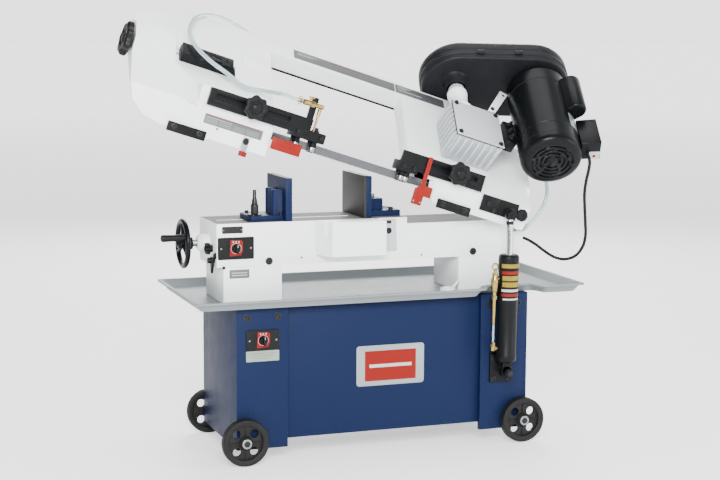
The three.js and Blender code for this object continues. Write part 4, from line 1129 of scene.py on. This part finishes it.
knob = Piece("feed_valve_ring", "feed_valve", FEED, "brass")
knob.turned([(4, 254.4), (4, 262)], "z", (x, 0), 28)
knob.lathe([around((7.6, 0), 2.2, a) for a in turn_in(14)], "y", (x, 270), 48)
knob.done("feed_valve_knob")

pins = Piece("feed_lower_bolts", "base", MACHINE, "bolt")
for z in (168, 222):
    for x in (289, 331):
        pins.bolt("y", (x, z), -167, -1, 5, 4)
pins.bolt("y", (310, 190), -222, -1, 8, 3, washer=False, socket=False)
pins.done()


# blade teeth
pitch, depth, half = 5.1, 2.2, 0.42     # half is half the band's thickness
teeth = Piece("blade_teeth", "saw_head", HEAD, "blade")
part = bmesh.new()
x = -628
while x < -352:
    profile = [(x, 15.8), (x + pitch, 15.8), (x + pitch * 0.85, 15.5 - depth)]
    rings = [[part.verts.new((u, CUT_Y + s, v)) for u, v in profile] for s in (-half, half)]
    Piece.skin(part, rings)
    x += pitch
teeth.add(part)
teeth.done()


# covers, hose clip and glands
knobs = Piece("cover_knobs", "idler_cover", BOW, "black_plastic")
for x, z in ((-1040, 40), (-900, -150), (-1010, -110)):
    knobs.turned([(6, 15.4), (7, 19), (12, 21), (13, 24), (12, 29), (9, 31)], "y", (x, z), 32)
knobs.done()

bolts = Piece("drive_cover_bolts", "saw_head", BOW, "bolt")
for x, z in ((-310, 150), (-100, 135), (-40, 20), (-100, -125), (-300, -90), (-345, 110)):
    bolts.bolt("y", (x, z), 15.3, 1, 5, 4)
bolts.done()

for name, body, x, start, end in (("idler_cover_ribs", "idler_cover", -905, 95, 250),
        ("drive_cover_ribs", "saw_head", -195, -80, 80)):
    ribs = Piece(name, body, BOW, "black_paint")
    for r in (90, 130):
        ribs.prism(ring_sector((x, 0), r, r + 7, start, end, 40), "y", (15.2, 17), round_by=0.6)
    ribs.done()
clip = Piece("hose_clip", "saw_head", BOW, "bolt")
clip.box((-650, -640), (-17, -1), (182, 199), round_by=2)
clip.done()

glands = Piece("bed_glands", "base", MACHINE, "bolt")
for y, z, r in ((8, 504, 5.4), (-42, 513, 4.4)):
    glands.lathe([(r, 390.1), (r + 5, 390.1), (r + 5, 394), (r + 2.5, 400), (r, 400)], "x", (y, z), 32)
glands.done()


# Floor and light
bpy.ops.mesh.primitive_plane_add(size=160, location=(0, 0, -0.0005))
floor = bpy.context.object
floor.name = "floor"
look = Look("floor", (0.86, 0.86, 0.86), 0.75)
look.tint(look.noise(0.6, 2), 0.01)
look.set("Emission Color", (1, 1, 1, 1))
distance = look.node("ShaderNodeVectorMath", "LENGTH")
look.link(look.place, distance.inputs[0])
glow = look.node("ShaderNodeMapRange", From_Min=2.5, From_Max=16.0, To_Min=0.8, To_Max=1.75)
look.link(distance.outputs["Value"], glow.inputs["Value"])
look.link(glow.outputs["Result"], look.shader.inputs["Emission Strength"])
floor.data.materials.append(look.material)
world = bpy.data.worlds.new("studio")
world.use_nodes = True
tree = world.node_tree
sky = tree.nodes["Background"]
sky.inputs["Strength"].default_value = 2.5
direction = tree.nodes.new("ShaderNodeSeparateXYZ")
tree.links.new(tree.nodes.new("ShaderNodeTexCoord").outputs["Generated"], direction.inputs[0])
level = tree.nodes.new("ShaderNodeMath")
level.operation = "MULTIPLY"
for i, (axis, stops) in enumerate((("Z", (0.12, 0.75, 1.0, 0.34)), ("X", (-0.34, 0.02, 0.26, 1.0)))):
    share = tree.nodes.new("ShaderNodeMapRange")
    for socket, value in zip(("From Min", "From Max", "To Min", "To Max"), stops):
        share.inputs[socket].default_value = value
    tree.links.new(direction.outputs[axis], share.inputs["Value"])
    tree.links.new(share.outputs["Result"], level.inputs[i])
tree.links.new(level.outputs[0], sky.inputs["Color"])
bpy.context.scene.world = world


def softbox(name, place, target, size, power):
    data = bpy.data.lights.new(name, "AREA")
    data.shape = "RECTANGLE"
    data.size, data.size_y = size
    data.energy = power
    lamp = bpy.data.objects.new(name, data)
    lamp.location = place
    lamp.rotation_euler = (Vector(target) - Vector(place)).to_track_quat("-Z", "Y").to_euler()
    bpy.context.scene.collection.objects.link(lamp)


softbox("key", (-1.4, -4.0, 2.3), (0, 0, 0.55), (1.8, 1.6), 430)
softbox("fill", (3.2, -2.6, 1.2), (0, 0, 0.6), (1.2, 2.0), 60)
softbox("top", (0.3, 0.5, 3.8), (0, 0, 0.5), (2.6, 1.8), 60)
softbox("back", (1.2, 3.6, 2.4), (0, 0, 0.7), (2.2, 2.2), 160)
